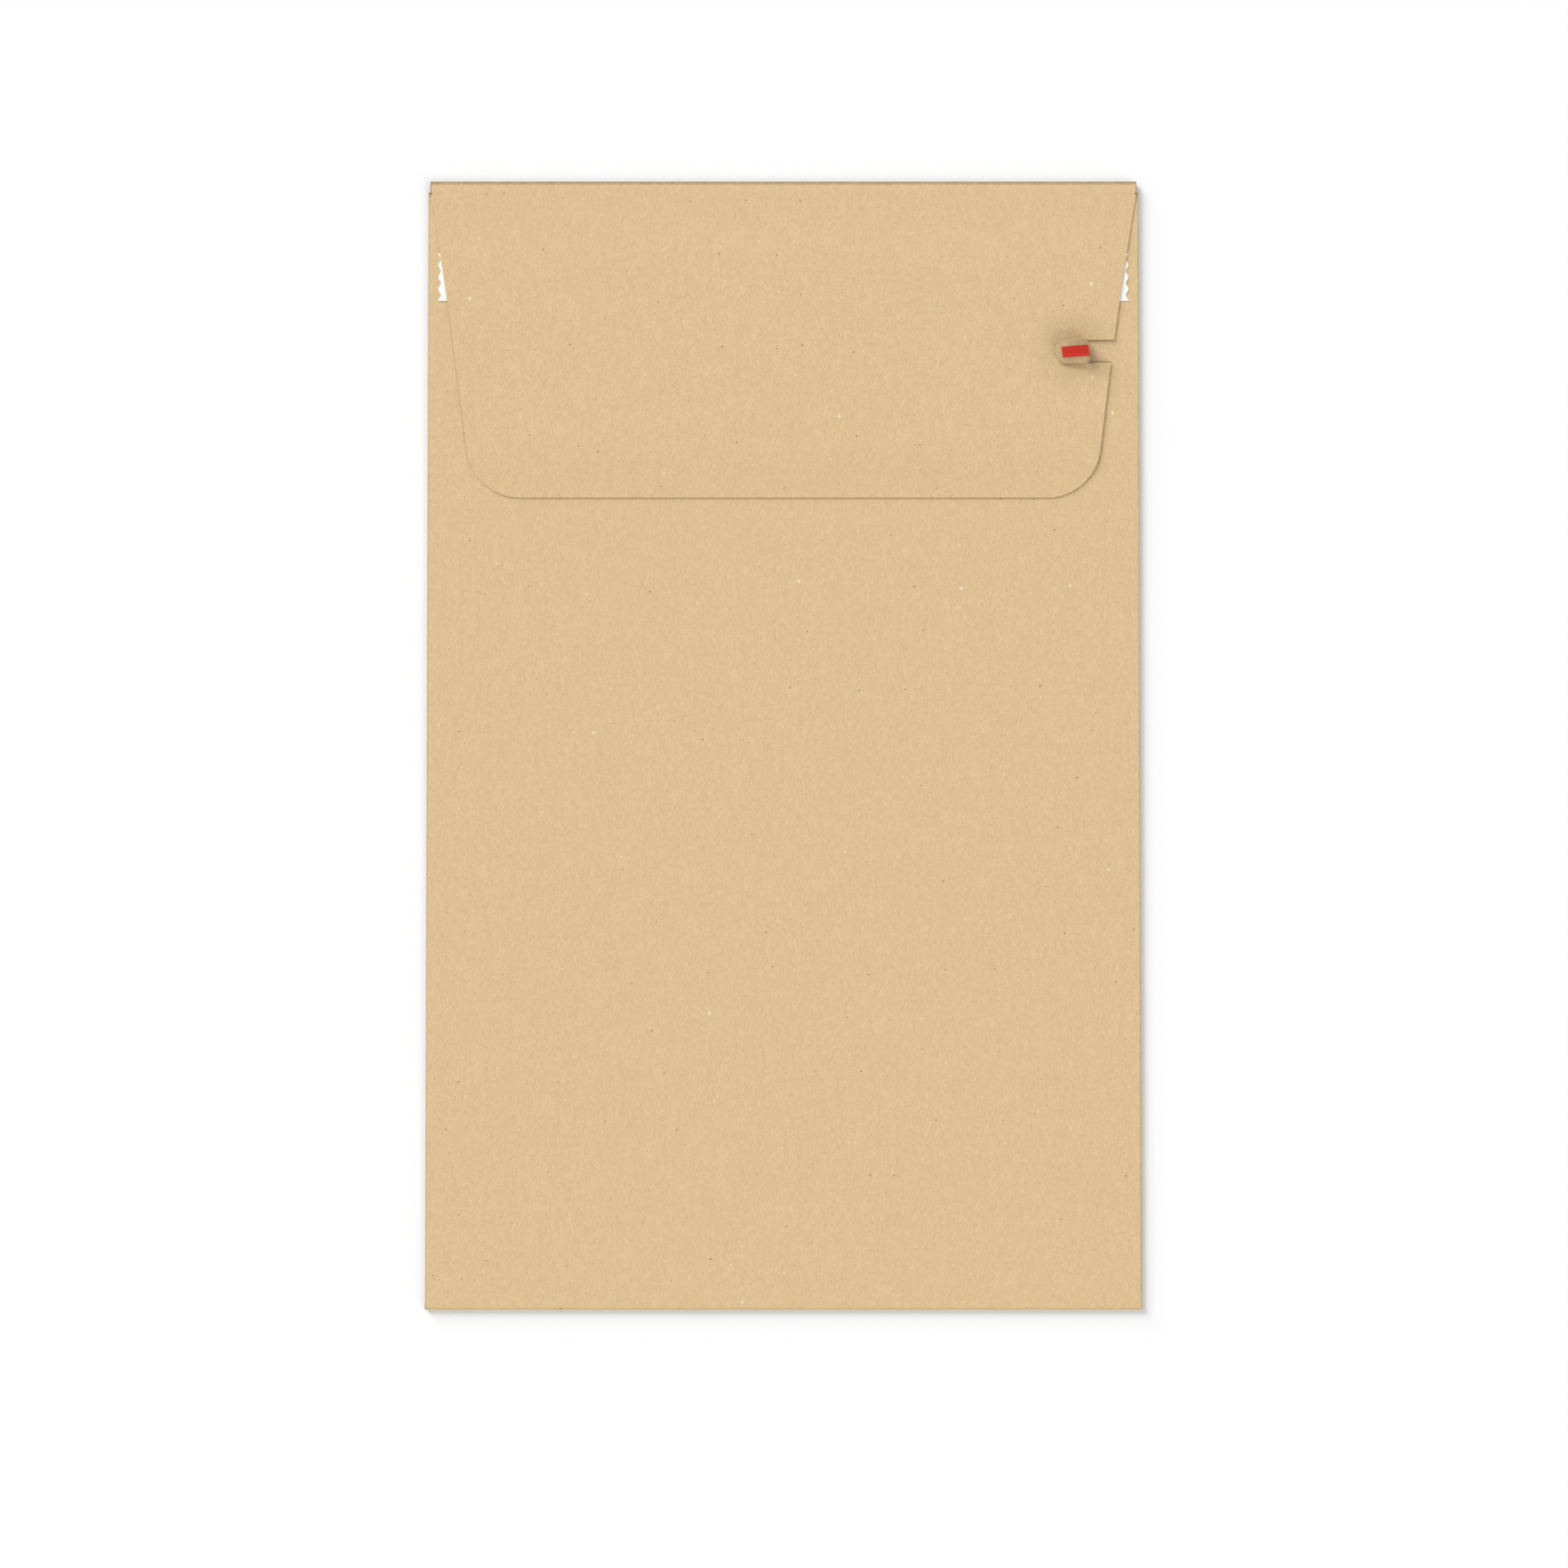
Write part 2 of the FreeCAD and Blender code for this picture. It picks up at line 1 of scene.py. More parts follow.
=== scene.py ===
"""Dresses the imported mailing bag: folded kraft paper, release liners, adhesive and tear tape.

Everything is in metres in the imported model's frame. The bag lies on its address side, +X runs across
it towards the pull tab, +Y along it towards the top fold of the flap, and +Z up to the flap side.
Each piece of paper is made the way it is folded: as a sheet without thickness that is extruded along
its flat runs and spun round its folds, and is thickened at the end.
"""

import logging
import math
from collections.abc import Callable, Iterator
from contextlib import contextmanager
from dataclasses import dataclass, field
from enum import Enum

import bmesh
import bpy
from mathutils import Matrix, Vector, noise


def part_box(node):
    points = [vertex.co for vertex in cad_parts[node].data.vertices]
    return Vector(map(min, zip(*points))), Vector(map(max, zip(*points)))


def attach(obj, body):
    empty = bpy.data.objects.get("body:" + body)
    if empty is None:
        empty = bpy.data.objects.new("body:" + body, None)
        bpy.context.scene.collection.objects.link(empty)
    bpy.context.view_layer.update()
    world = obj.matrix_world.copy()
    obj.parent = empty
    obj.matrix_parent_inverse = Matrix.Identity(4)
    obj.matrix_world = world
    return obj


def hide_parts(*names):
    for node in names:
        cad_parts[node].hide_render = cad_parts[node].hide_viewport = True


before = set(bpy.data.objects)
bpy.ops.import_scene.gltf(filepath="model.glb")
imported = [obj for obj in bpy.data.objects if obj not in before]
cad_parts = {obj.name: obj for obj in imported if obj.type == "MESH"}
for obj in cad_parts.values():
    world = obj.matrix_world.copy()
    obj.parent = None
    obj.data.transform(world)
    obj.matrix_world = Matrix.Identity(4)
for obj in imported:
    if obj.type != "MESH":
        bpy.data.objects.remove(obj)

LOG = logging.getLogger("mailing_bag")
MM = 0.001
# Points nearer to each other than this are one point.
WELD = 0.01 * MM
# How exactly a cut or a test of place hits its plane.
CUT = 0.001 * MM
# How far below the flap's face a point still counts as on it.
HAIR = 0.02 * MM
FOLD_STEPS = 8
EVEN_CUTS = (0.2, 0.4, 0.6, 0.8)
# Corners flatter than this are shaded smooth.
SMOOTH = math.radians(40)
# Edges that turn by less than this are one straight edge.
STRAIGHT = math.radians(1)
# The return strip of this bag was stuck on a little nearer to its bottom than on the ideal one.
STUCK_LOW = 0.5 * MM
# The tear tape is cut a little narrower than its nominal width.
TAPE_SHRINK = 0.3 * MM
FILM = 0.08 * MM
LINER_PAPER = 0.1 * MM
BODY = "root"

Test = Callable[[Vector], bool]
Move = Callable[[Vector], Vector]
Colour = tuple[float, float, float]
Stretch = tuple[float, float, float]
Input = float | tuple[float, ...] | Vector | bpy.types.NodeSocket

WHITE: Colour = (1.0, 1.0, 1.0)


class Part(Enum):
    """What a selection picks, by the name of its select mode."""

    POINTS = "VERT"
    EDGES = "EDGE"
    FACES = "FACE"


class Slot(Enum):
    """Material slots of the record."""

    KRAFT = "kraft_paper"
    LINER = "release_liner"
    ADHESIVE = "adhesive"
    TAPE = "tear_tape"


@dataclass(frozen=True)
class Gloss:
    """How rough and shiny a surface is, and how much of that follows its fine pattern."""

    rough: float
    play: float
    specular: float
    relief: float = 0.0
    depth: float = 0.02 * MM


def opaque(colour: Colour) -> tuple[float, float, float, float]:
    """A colour with full opacity."""
    return (*colour, 1.0)


# --------------------------------------------------------------------------- modelling by hand


def choose(piece: bpy.types.Object) -> None:
    """Make an object the only selected one, and the active one."""
    bpy.ops.object.select_all(action="DESELECT")
    piece.select_set(True)
    bpy.context.view_layer.objects.active = piece


@contextmanager
def editing(piece: bpy.types.Object) -> Iterator[None]:
    """Keep one piece open in edit mode, with nothing selected at the start.

    Args:
        piece: The mesh object to edit.
    """
    choose(piece)
    bpy.ops.object.mode_set(mode="EDIT")
    bpy.ops.mesh.select_all(action="DESELECT")
    yield
    bpy.ops.object.mode_set(mode="OBJECT")


def middle(item: bmesh.types.BMVert | bmesh.types.BMEdge | bmesh.types.BMFace) -> Vector:
    """Place of a point, or the mean place of an edge's or a face's points."""
    if isinstance(item, bmesh.types.BMVert):
        return item.co
    return sum((vert.co for vert in item.verts), Vector()) / len(item.verts)


def pick(piece: bpy.types.Object, part: Part, wanted: Test) -> None:
    """Select what lies where a test says, in edit mode.

    Args:
        piece: The piece that is open in edit mode.
        part: What to pick.
        wanted: Test of the place of each point, edge or face.
    """
    bpy.ops.mesh.select_mode(type=part.value)
    bpy.ops.mesh.select_all(action="DESELECT")
    mesh = bmesh.from_edit_mesh(piece.data)
    items = {Part.POINTS: mesh.verts, Part.EDGES: mesh.edges, Part.FACES: mesh.faces}[part]
    for item in items:
        item.select_set(wanted(middle(item)))
    mesh.select_flush_mode()
    bmesh.update_edit_mesh(piece.data)


def run(direction: Vector, length: float, steps: int = 1) -> None:
    """Carry the selected edge of a sheet on along a flat run.

    Args:
        direction: Direction of the run.
        length: Length of the run.
        steps: Rows of faces along it.
    """
    step = direction.normalized() * length / steps
    for _ in range(steps):
        bpy.ops.mesh.extrude_region_move(TRANSFORM_OT_translate={"value": step})


def fold(centre: Vector, axis: Vector, angle: float, steps: int = FOLD_STEPS) -> None:
    """Carry the selected edge of a sheet round a fold.

    Args:
        centre: A point on the fold's axis.
        axis: Direction of the fold's axis; the sheet turns by the right-hand rule about it,
            and the operator counts its angle the other way.
        angle: How far the sheet turns, in radians.
        steps: Rows of faces round the fold.
    """
    bpy.ops.mesh.spin(steps=steps, angle=-angle, center=centre, axis=axis, dupli=False)


def between(low: float, high: float, count: int) -> list[float]:
    """Places that divide a length into equal parts, without its ends."""
    return [low + (high - low) * index / count for index in range(1, count)]


def everywhere(_: Vector) -> bool:
    """Test that picks all there is."""
    return True


def divide(piece: bpy.types.Object, axis: int, places: list[float], wanted: Test = everywhere) -> None:
    """Divide faces of a sheet at several places, in edit mode.

    Args:
        piece: The sheet that is open in edit mode.
        axis: What the places are measured along, X (0) or Y (1).
        places: Where to divide.
        wanted: Test of the middle of each face that may be divided.
    """
    normal = Vector((axis == 0, axis == 1, 0))
    for place in places:
        pick(piece, Part.FACES, wanted)
        bpy.ops.mesh.bisect(plane_co=normal * place, plane_no=normal, threshold=CUT)


def weld() -> None:
    """Join the points of the open sheet that meet, and turn all its faces the same way."""
    bpy.ops.mesh.select_all(action="SELECT")
    bpy.ops.mesh.remove_doubles(threshold=WELD)
    bpy.ops.mesh.normals_make_consistent(inside=False)


def shape(piece: bpy.types.Object, move: Move) -> None:
    """Move each point of a piece to where a function puts it."""
    for vert in piece.data.vertices:
        vert.co = move(vert.co)
    piece.data.update()


def plane(name: str, low: Vector, high: Vector) -> bpy.types.Object:
    """Lay down a rectangle.

    Args:
        name: Name of the new object.
        low: Its corner at low X and low Y; its Z is the rectangle's level.
        high: Its corner at high X and high Y.

    Returns:
        The new object, at the origin, with its place in its mesh.
    """
    bpy.ops.object.select_all(action="DESELECT")
    bpy.ops.mesh.primitive_plane_add(size=1, location=(low + high) / 2)
    piece = bpy.context.object
    piece.name = piece.data.name = name
    piece.scale = (high.x - low.x, high.y - low.y, 1)
    settle_transform(piece)
    return piece


def settle_transform(piece: bpy.types.Object) -> None:
    """Put an object's place, turn and size into its mesh."""
    choose(piece)
    bpy.ops.object.transform_apply(location=True, rotation=True, scale=True)


def join(first: bpy.types.Object, second: bpy.types.Object) -> bpy.types.Object:
    """Make one sheet of two that meet edge to edge; returns it."""
    choose(first)
    second.select_set(True)
    bpy.ops.object.join()
    with editing(first):
        weld()
    return first


def thicken(piece: bpy.types.Object, thickness: float, rim_slot: int = 0) -> None:
    """Give a sheet its thickness, half to each side, and shade its folds smooth.

    Args:
        piece: The sheet.
        thickness: Its thickness.
        rim_slot: Material slot of its cut edges.
    """
    choose(piece)
    solid = piece.modifiers.new("thickness", "SOLIDIFY")
    solid.thickness = thickness
    solid.offset = 0
    solid.use_even_offset = True
    solid.material_offset_rim = rim_slot
    bpy.ops.object.modifier_apply(modifier=solid.name)
    bpy.ops.object.shade_smooth_by_angle(angle=SMOOTH)


# --------------------------------------------------------------------------- shader building


class Graph:
    """One node tree with short ways to add and link its nodes."""

    def __init__(self, tree: bpy.types.NodeTree) -> None:
        """Take the tree over and empty it."""
        self.tree = tree
        tree.nodes.clear()

    def add(self, kind: str, inputs: dict | None = None, **settings) -> bpy.types.Node:
        """Add a node.

        Args:
            kind: Type name of the node.
            inputs: For each input by name or number, a value or the socket that feeds it.
            **settings: The node's own settings.

        Returns:
            The new node.
        """
        node = self.tree.nodes.new(kind)
        for name, value in settings.items():
            setattr(node, name, value)
        for key, value in (inputs or {}).items():
            self.feed(node.inputs[key], value)
        return node

    def feed(self, socket: bpy.types.NodeSocket, value: Input) -> None:
        """Set a socket, or link another socket to it."""
        if isinstance(value, bpy.types.NodeSocket):
            self.tree.links.new(value, socket)
        else:
            socket.default_value = value

    def math(self, operation: str, *values: Input) -> bpy.types.NodeSocket:
        """Work one number out of others; returns its socket."""
        return self.add("ShaderNodeMath", dict(enumerate(values)), operation=operation).outputs[0]

    def ramp(self, value: Input, low: Input, high: Input, start: float = 0.0,
             end: float = 1.0) -> bpy.types.NodeSocket:
        """Smooth step of a number between two bounds, onto a new range; returns its socket."""
        inputs = {"Value": value, "From Min": low, "From Max": high, "To Min": start, "To Max": end}
        return self.add("ShaderNodeMapRange", inputs, interpolation_type="SMOOTHSTEP").outputs["Result"]

    def blend(self, factor: Input, low: Input, high: Input, how: str = "MIX") -> bpy.types.NodeSocket:
        """Mix two colours; returns the socket of the mixed colour."""
        node = self.add("ShaderNodeMix", data_type="RGBA", blend_type=how, clamp_factor=True)
        for socket, value in zip((node.inputs[0], node.inputs[6], node.inputs[7]), (factor, low, high)):
            self.feed(socket, value)
        return node.outputs[2]

    def vector(self, operation: str, value: Input, other: Input) -> bpy.types.Node:
        """Work with two vectors, or with a vector and its scale; returns the node."""
        second = "Scale" if operation == "SCALE" else 1
        return self.add("ShaderNodeVectorMath", {0: value, second: other}, operation=operation)

    def place(self, stretch: Stretch = (1, 1, 1)) -> bpy.types.NodeSocket:
        """Object coordinates, stretched along each axis; returns their socket."""
        place = self.add("ShaderNodeTexCoord").outputs["Object"]
        return place if stretch == (1, 1, 1) else self.vector("MULTIPLY", place, stretch).outputs[0]

    def split(self, vector: Input) -> tuple[bpy.types.NodeSocket, ...]:
        """The three sockets of a vector's X, Y and Z."""
        return tuple(self.add("ShaderNodeSeparateXYZ", {0: vector}).outputs)

    def tinted(self, colour: Colour, tone: Input) -> bpy.types.NodeSocket:
        """A colour multiplied by a tone; returns its socket."""
        grey = self.add("ShaderNodeCombineColor", {0: tone, 1: tone, 2: tone}).outputs[0]
        return self.blend(1.0, opaque(colour), grey, "MULTIPLY")

    def surface(self, colour: Input, pattern: Input, gloss: Gloss) -> None:
        """Give the material its surface.

        Args:
            colour: Its colour.
            pattern: The fine pattern that its roughness and relief follow.
            gloss: How rough and shiny it is.
        """
        inputs = {"Base Color": colour, "Specular IOR Level": gloss.specular,
                  "Roughness": self.math("MULTIPLY_ADD", pattern, gloss.play, gloss.rough)}
        if gloss.relief:
            relief = {"Height": pattern, "Strength": gloss.relief, "Distance": gloss.depth}
            inputs["Normal"] = self.add("ShaderNodeBump", relief).outputs[0]
        shader = self.add("ShaderNodeBsdfPrincipled", inputs)
        self.add("ShaderNodeOutputMaterial", {"Surface": shader.outputs[0]})


def new_material(name: str) -> tuple[bpy.types.Material, Graph]:
    """Start a material; returns it and its graph."""
    material = bpy.data.materials.new(name)
    material.use_nodes = True
    return material, Graph(material.node_tree)


NewGroup = tuple[bpy.types.NodeTree, Graph, bpy.types.NodeOutputs, bpy.types.NodeSocket]


def new_group(name: str, numbers: tuple[str, ...], result: str) -> NewGroup:
    """Start a shader node group that takes a place and some numbers.

    Args:
        name: Name of the group.
        numbers: Names of its number inputs.
        result: Name of its output, a number.

    Returns:
        The group's tree, its graph, what it is given by name, and the socket of its output.
    """
    tree = bpy.data.node_groups.new(name, "ShaderNodeTree")
    graph = Graph(tree)
    tree.interface.new_socket("Place", in_out="INPUT", socket_type="NodeSocketVector")
    for number in numbers:
        tree.interface.new_socket(number, in_out="INPUT", socket_type="NodeSocketFloat")
    tree.interface.new_socket(result, in_out="OUTPUT", socket_type="NodeSocketFloat")
    return tree, graph, graph.add("NodeGroupInput").outputs, graph.add("NodeGroupOutput").inputs[0]


def scatter(graph: Graph, given: bpy.types.NodeOutputs, stray: float) -> tuple:
    """Divide the paper into cells, one mark to each.

    Args:
        graph: The group's graph.
        given: What the group is given; "Cell" is the size of a cell.
        stray: How far a mark strays from the middle of its cell, up to 1.

    Returns:
        The place counted in cells, the cell's sockets, and three chances that belong to the cell.
    """
    per_cell = graph.math("DIVIDE", 1.0, given["Cell"])
    scaled = graph.vector("SCALE", given["Place"], per_cell).outputs[0]
    cell = graph.add("ShaderNodeTexVoronoi", {"Vector": scaled, "Scale": 1.0, "Randomness": stray},
                     voronoi_dimensions="2D").outputs
    return scaled, cell, graph.add("ShaderNodeSeparateColor", {0: cell["Color"]}).outputs


def fibre_group() -> bpy.types.NodeTree:
    """Short fibres pressed into the paper, one to a cell, mostly in line with its grain.

    Returns:
        A group that puts out a mask, 1 on a fibre.
    """
    bend, shortest, more, taper = 300.0, 0.2, 0.3, 0.6
    tree, graph, given, result = new_group("fibres", ("Cell", "Length", "Width", "Lean", "Share"), "Mask")
    scaled, cell, chance = scatter(graph, given, stray=0.7)
    offset = graph.vector("SUBTRACT", scaled, cell["Position"]).outputs[0]
    real = graph.vector("SCALE", offset, given["Cell"]).outputs[0]
    lean = graph.math("MULTIPLY", graph.math("SUBTRACT", chance[0], 0.5), given["Lean"])
    turned = graph.add("ShaderNodeVectorRotate", {"Vector": real, "Angle": lean}, rotation_type="Z_AXIS")
    across, along, _ = graph.split(turned.outputs[0])
    curl = graph.math("MULTIPLY", graph.math("SUBTRACT", chance[2], 0.5), bend)
    bent = graph.math("MULTIPLY_ADD", graph.math("MULTIPLY", along, along), curl, across)
    beside = graph.ramp(graph.math("ABSOLUTE", bent), graph.math("MULTIPLY", given["Width"], 0.5), 0.0)
    reach = graph.math("MULTIPLY", given["Length"], graph.math("MULTIPLY_ADD", chance[2], more, shortest))
    within = graph.ramp(graph.math("ABSOLUTE", along), reach, graph.math("MULTIPLY", reach, taper))
    there = graph.math("LESS_THAN", chance[1], given["Share"])
    graph.feed(result, graph.math("MULTIPLY", graph.math("MULTIPLY", beside, within), there))
    return tree


def fleck_group() -> bpy.types.NodeTree:
    """Single flecks, such as bark specks or knots of pulp.

    Returns:
        A group that puts out a mask, 1 at the middle of a fleck.
    """
    smallest, more = 0.5, 0.7
    tree, graph, given, result = new_group("flecks", ("Cell", "Radius", "Share"), "Mask")
    _, cell, chance = scatter(graph, given, stray=0.9)
    size = graph.math("MULTIPLY", given["Radius"], graph.math("MULTIPLY_ADD", chance[2], more, smallest))
    away = graph.math("MULTIPLY", cell["Distance"], given["Cell"])
    there = graph.math("LESS_THAN", chance[1], given["Share"])
    graph.feed(result, graph.math("MULTIPLY", graph.ramp(away, size, 0.0), there))
    return tree


def mottle_group() -> bpy.types.NodeTree:
    """Uneven tone of pulp at one size of patch.

    Returns:
        A group that puts out a tone from -1 to 1.
    """
    rough, darkest, palest = 0.55, 0.25, 0.75
    tree, graph, given, result = new_group("mottle", ("Patch", "Detail"), "Tone")
    cloud = graph.add("ShaderNodeTexNoise", {
        "Vector": given["Place"], "Scale": graph.math("DIVIDE", 1.0, given["Patch"]),
        "Detail": given["Detail"], "Roughness": rough}, noise_dimensions="3D")
    graph.feed(result, graph.ramp(cloud.outputs[0], darkest, palest, -1.0, 1.0))
    return tree


def band_group() -> bpy.types.NodeTree:
    """Painted shade along the bag's folds, where the paper turns down, and at its shoulders; a painted
    highlight along its bottom fold.

    Returns:
        A group that puts out a mask, 1 times its depth at a fold and 0 at the band's width from it.
    """
    core = 0.4
    tree, graph, given, result = new_group("painted_fold_shade", (
        "Half Width", "Top", "Bottom", "Side Band", "Top Band", "Bottom Band", "Side Depth", "Top Depth",
        "Bottom Depth", "Left Depth", "Neck Depth", "Mouth", "Neck Inset", "Scuff", "Scuff Depth"), "Mask")
    across, along, _ = graph.split(given["Place"])
    above_mouth = graph.math("GREATER_THAN", along, given["Mouth"])
    inset = graph.math("MULTIPLY", above_mouth, given["Neck Inset"])
    half = graph.math("SUBTRACT", given["Half Width"], inset)
    on_left = graph.math("LESS_THAN", across, 0.0)
    side_depth = graph.math("MULTIPLY_ADD", on_left, given["Left Depth"], given["Side Depth"])
    side_depth = graph.math("MULTIPLY_ADD", above_mouth, given["Neck Depth"], side_depth)

    def band(distance: Input, width: Input, depth: Input) -> bpy.types.NodeSocket:
        """Mask along one fold, from the distance to it; returns its socket."""
        return graph.math("MULTIPLY", graph.ramp(distance, width, 0.0), depth)

    # Painted shade along the side folds, deeper on the left and at the neck, and along the top fold.
    side = band(graph.math("SUBTRACT", half, graph.math("ABSOLUTE", across)), given["Side Band"], side_depth)
    top = band(graph.math("SUBTRACT", given["Top"], along), given["Top Band"], given["Top Depth"])
    # The bottom band's negative depth makes it a painted highlight along the bottom fold.
    bottom = band(graph.math("SUBTRACT", along, given["Bottom"]), given["Bottom Band"], given["Bottom Depth"])
    # Painted shade in a spot at each shoulder, where the layers end at the mouth.
    here = graph.add("ShaderNodeCombineXYZ", {0: graph.math("ABSOLUTE", across), 1: along}).outputs[0]
    neck = graph.math("SUBTRACT", given["Half Width"], given["Neck Inset"])
    level = graph.math("MULTIPLY_ADD", given["Scuff"], -core, given["Mouth"])
    shoulder = graph.add("ShaderNodeCombineXYZ", {0: neck, 1: level}).outputs[0]
    away = graph.vector("DISTANCE", here, shoulder).outputs["Value"]
    shoulder_shade = graph.ramp(away, given["Scuff"], graph.math("MULTIPLY", given["Scuff"], core))
    shoulder_shade = graph.math("MULTIPLY", shoulder_shade, given["Scuff Depth"])
    darkest = graph.math("MAXIMUM", graph.math("MAXIMUM", side, top), shoulder_shade)
    graph.feed(result, graph.math("ADD", darkest, bottom))
    return tree


class Groups:
    """The shader node groups that the finishes share, each built once."""

    fibres = fibre_group()
    flecks = fleck_group()
    mottle = mottle_group()
    bands = band_group()


def use(graph: Graph, group: bpy.types.NodeTree, **inputs: Input) -> bpy.types.NodeSocket:
    """Place a group in a material; returns its first output."""
    node = graph.add("ShaderNodeGroup", node_tree=group)
    for name, value in inputs.items():
        graph.feed(node.inputs[name.replace("_", " ")], value)
    return node.outputs[0]


def mottle(graph: Graph, stretch: Stretch, patch: float, detail: float = 2.0) -> bpy.types.NodeSocket:
    """Uneven tone at one size of patch, stretched along each axis; returns its socket."""
    return use(graph, Groups.mottle, Place=graph.place(stretch), Patch=patch, Detail=detail)


# --------------------------------------------------------------------------- finishes


@dataclass(frozen=True)
class Pulp:
    """One size of patch in the paper's uneven tone."""

    patch: float
    stretch: float
    depth: float


@dataclass(frozen=True)
class Fleck:
    """One kind of fleck, and how strongly it hides the paper."""

    stretch: float
    cell: float
    radius: float
    share: float
    strength: float
    colour: Colour


@dataclass(frozen=True)
class Fibres:
    """One layer of fibres, and how much paler or darker than the paper they are."""

    stretch: Stretch
    cell: float
    width: float
    lean: float
    depth: float
    length: float = 2.6 * MM
    share: float = 0.5


SPECK: Colour = (0.16, 0.14, 0.08)
KNOT: Colour = (0.93, 0.84, 0.66)


@dataclass(frozen=True)
class KraftFinish:
    """Brown kraft paper: cloudy pulp, a fine grain along the bag, fibres, bark specks and knots.

    Its tone holds a painted shadow round the tab, painted shade along the tab's lower slit, on its leaf,
    along the folds and at each shoulder, and a painted highlight along the bottom fold. The painted shade
    round the tab goes no deeper than marks_reach under the flap's face.
    """

    half_width: float
    top: float
    bottom: float
    tab_root: Vector
    slit_length: float
    slit_reach: float
    mouth: float
    neck_inset: float
    colour: Colour = (0.718, 0.527, 0.290)
    cut_tone: float = 1.02
    pulp: tuple[Pulp, ...] = (
        Pulp(0.35 * MM, 1.0, 0.078), Pulp(0.7 * MM, 0.4, 0.036), Pulp(1.5 * MM, 1.0, 0.024),
        Pulp(1.5 * MM, 0.3, 0.022), Pulp(4.0 * MM, 0.5, 0.014))
    flecks: tuple[Fleck, ...] = (
        Fleck(1.0, 17 * MM, 0.50 * MM, 0.45, 0.85, SPECK), Fleck(0.8, 40 * MM, 0.75 * MM, 0.4, 0.9, KNOT),
        Fleck(0.7, 11 * MM, 0.55 * MM, 0.5, 0.35, KNOT), Fleck(0.9, 9 * MM, 0.4 * MM, 0.4, 0.3, SPECK))
    fibres: tuple[Fibres, ...] = (
        Fibres((1, 1, 1), 3.1 * MM, width=0.3 * MM, lean=2.0, depth=0.12),
        Fibres((0.93, 1.07, 1.0), 3.6 * MM, width=0.28 * MM, lean=2.4, depth=-0.12))
    side_band: float = 0.7 * MM
    top_band: float = 2.0 * MM
    bottom_band: float = 0.8 * MM
    # Depths of the painted shade along the folds, and gain of the painted highlight along the bottom fold.
    top_fold_shade: float = 0.62
    side_fold_shade: float = 0.16
    left_fold_shade: float = 0.20
    neck_fold_shade: float = 0.2
    bottom_fold_highlight: float = 0.27
    # Size and depth of the painted shade at each shoulder.
    shoulder_shade: float = 0.95 * MM
    shoulder_shade_depth: float = 0.5
    # Painted shadow round the tab: shift of its centre from the root, its outer and inner reach, and its
    # depth.
    tab_shadow_shift: tuple[float, float, float] = (-3 * MM, 0.5 * MM, 0)
    tab_shadow_bounds: tuple[float, float] = (19 * MM, 5 * MM)
    tab_shadow_depth: float = 0.12
    # Painted shade on the tab's leaf: the levels over which it comes in, and its depth.
    leaf_levels: tuple[float, float] = (0.3 * MM, 0.8 * MM)
    leaf_shade: float = 0.05
    # Painted shade along the lower slit: its width, where it starts and stops, and its depth.
    slit_line: tuple[float, float] = (0.45 * MM, 0.05 * MM)
    slit_start: tuple[float, float] = (1.4 * MM, 2.0 * MM)
    slit_rest: float = 1.3 * MM
    slit_shade: float = 0.42
    marks_reach: float = 1.5 * MM
    fuzz: float = 0.5 * MM
    gloss: Gloss = Gloss(rough=0.86, play=0.04, specular=0.25, relief=0.35)

    def material(self, name: str, cut: bool = False) -> bpy.types.Material:
        """Build the material.

        Args:
            name: Name of the material.
            cut: Whether it is for the paper's cut edges, which are a little paler.

        Returns:
            The material.
        """
        material, graph = new_material(name)
        base = graph.tinted(self.colour, self.tone(graph, graph.place(), cut))
        for fleck in self.flecks:
            mask = use(graph, Groups.flecks, Place=graph.place((1.0, fleck.stretch, 1.0)), Cell=fleck.cell,
                       Radius=fleck.radius, Share=fleck.share)
            base = graph.blend(graph.math("MULTIPLY", mask, fleck.strength), base, opaque(fleck.colour))
        graph.surface(base, mottle(graph, (1.0, 0.4, 1.0), self.fuzz, 3.0), self.gloss)
        return material

    def tone(self, graph: Graph, place: bpy.types.NodeSocket, cut: bool) -> bpy.types.NodeSocket:
        """Tone that the paper's colour is multiplied by: pulp, grain, fibres, and painted shade and highlight
        along the folds and round the tab.
        """
        # Painted shade along the folds and at the shoulders, and a painted highlight along the bottom fold.
        folds = use(graph, Groups.bands, Place=place, Half_Width=self.half_width, Top=self.top,
                    Bottom=self.bottom, Side_Band=self.side_band, Top_Band=self.top_band,
                    Bottom_Band=self.bottom_band, Side_Depth=self.side_fold_shade,
                    Top_Depth=self.top_fold_shade, Bottom_Depth=-self.bottom_fold_highlight,
                    Left_Depth=self.left_fold_shade, Neck_Depth=self.neck_fold_shade, Mouth=self.mouth,
                    Neck_Inset=self.neck_inset, Scuff=self.shoulder_shade, Scuff_Depth=self.shoulder_shade_depth)
        tone = self.cut_tone if cut else 1.0
        for layer in self.pulp:
            cloud = mottle(graph, (1.0, layer.stretch, 1.0), layer.patch)
            tone = graph.math("MULTIPLY_ADD", cloud, layer.depth, tone)
        for layer in self.fibres:
            mask = use(graph, Groups.fibres, Place=graph.place(layer.stretch), Cell=layer.cell,
                       Length=layer.length, Width=layer.width, Lean=layer.lean, Share=layer.share)
            tone = graph.math("MULTIPLY_ADD", mask, layer.depth, tone)
        tone = graph.math("SUBTRACT", tone, folds)
        return graph.math("SUBTRACT", tone, self.painted_tab_shade(graph, place))

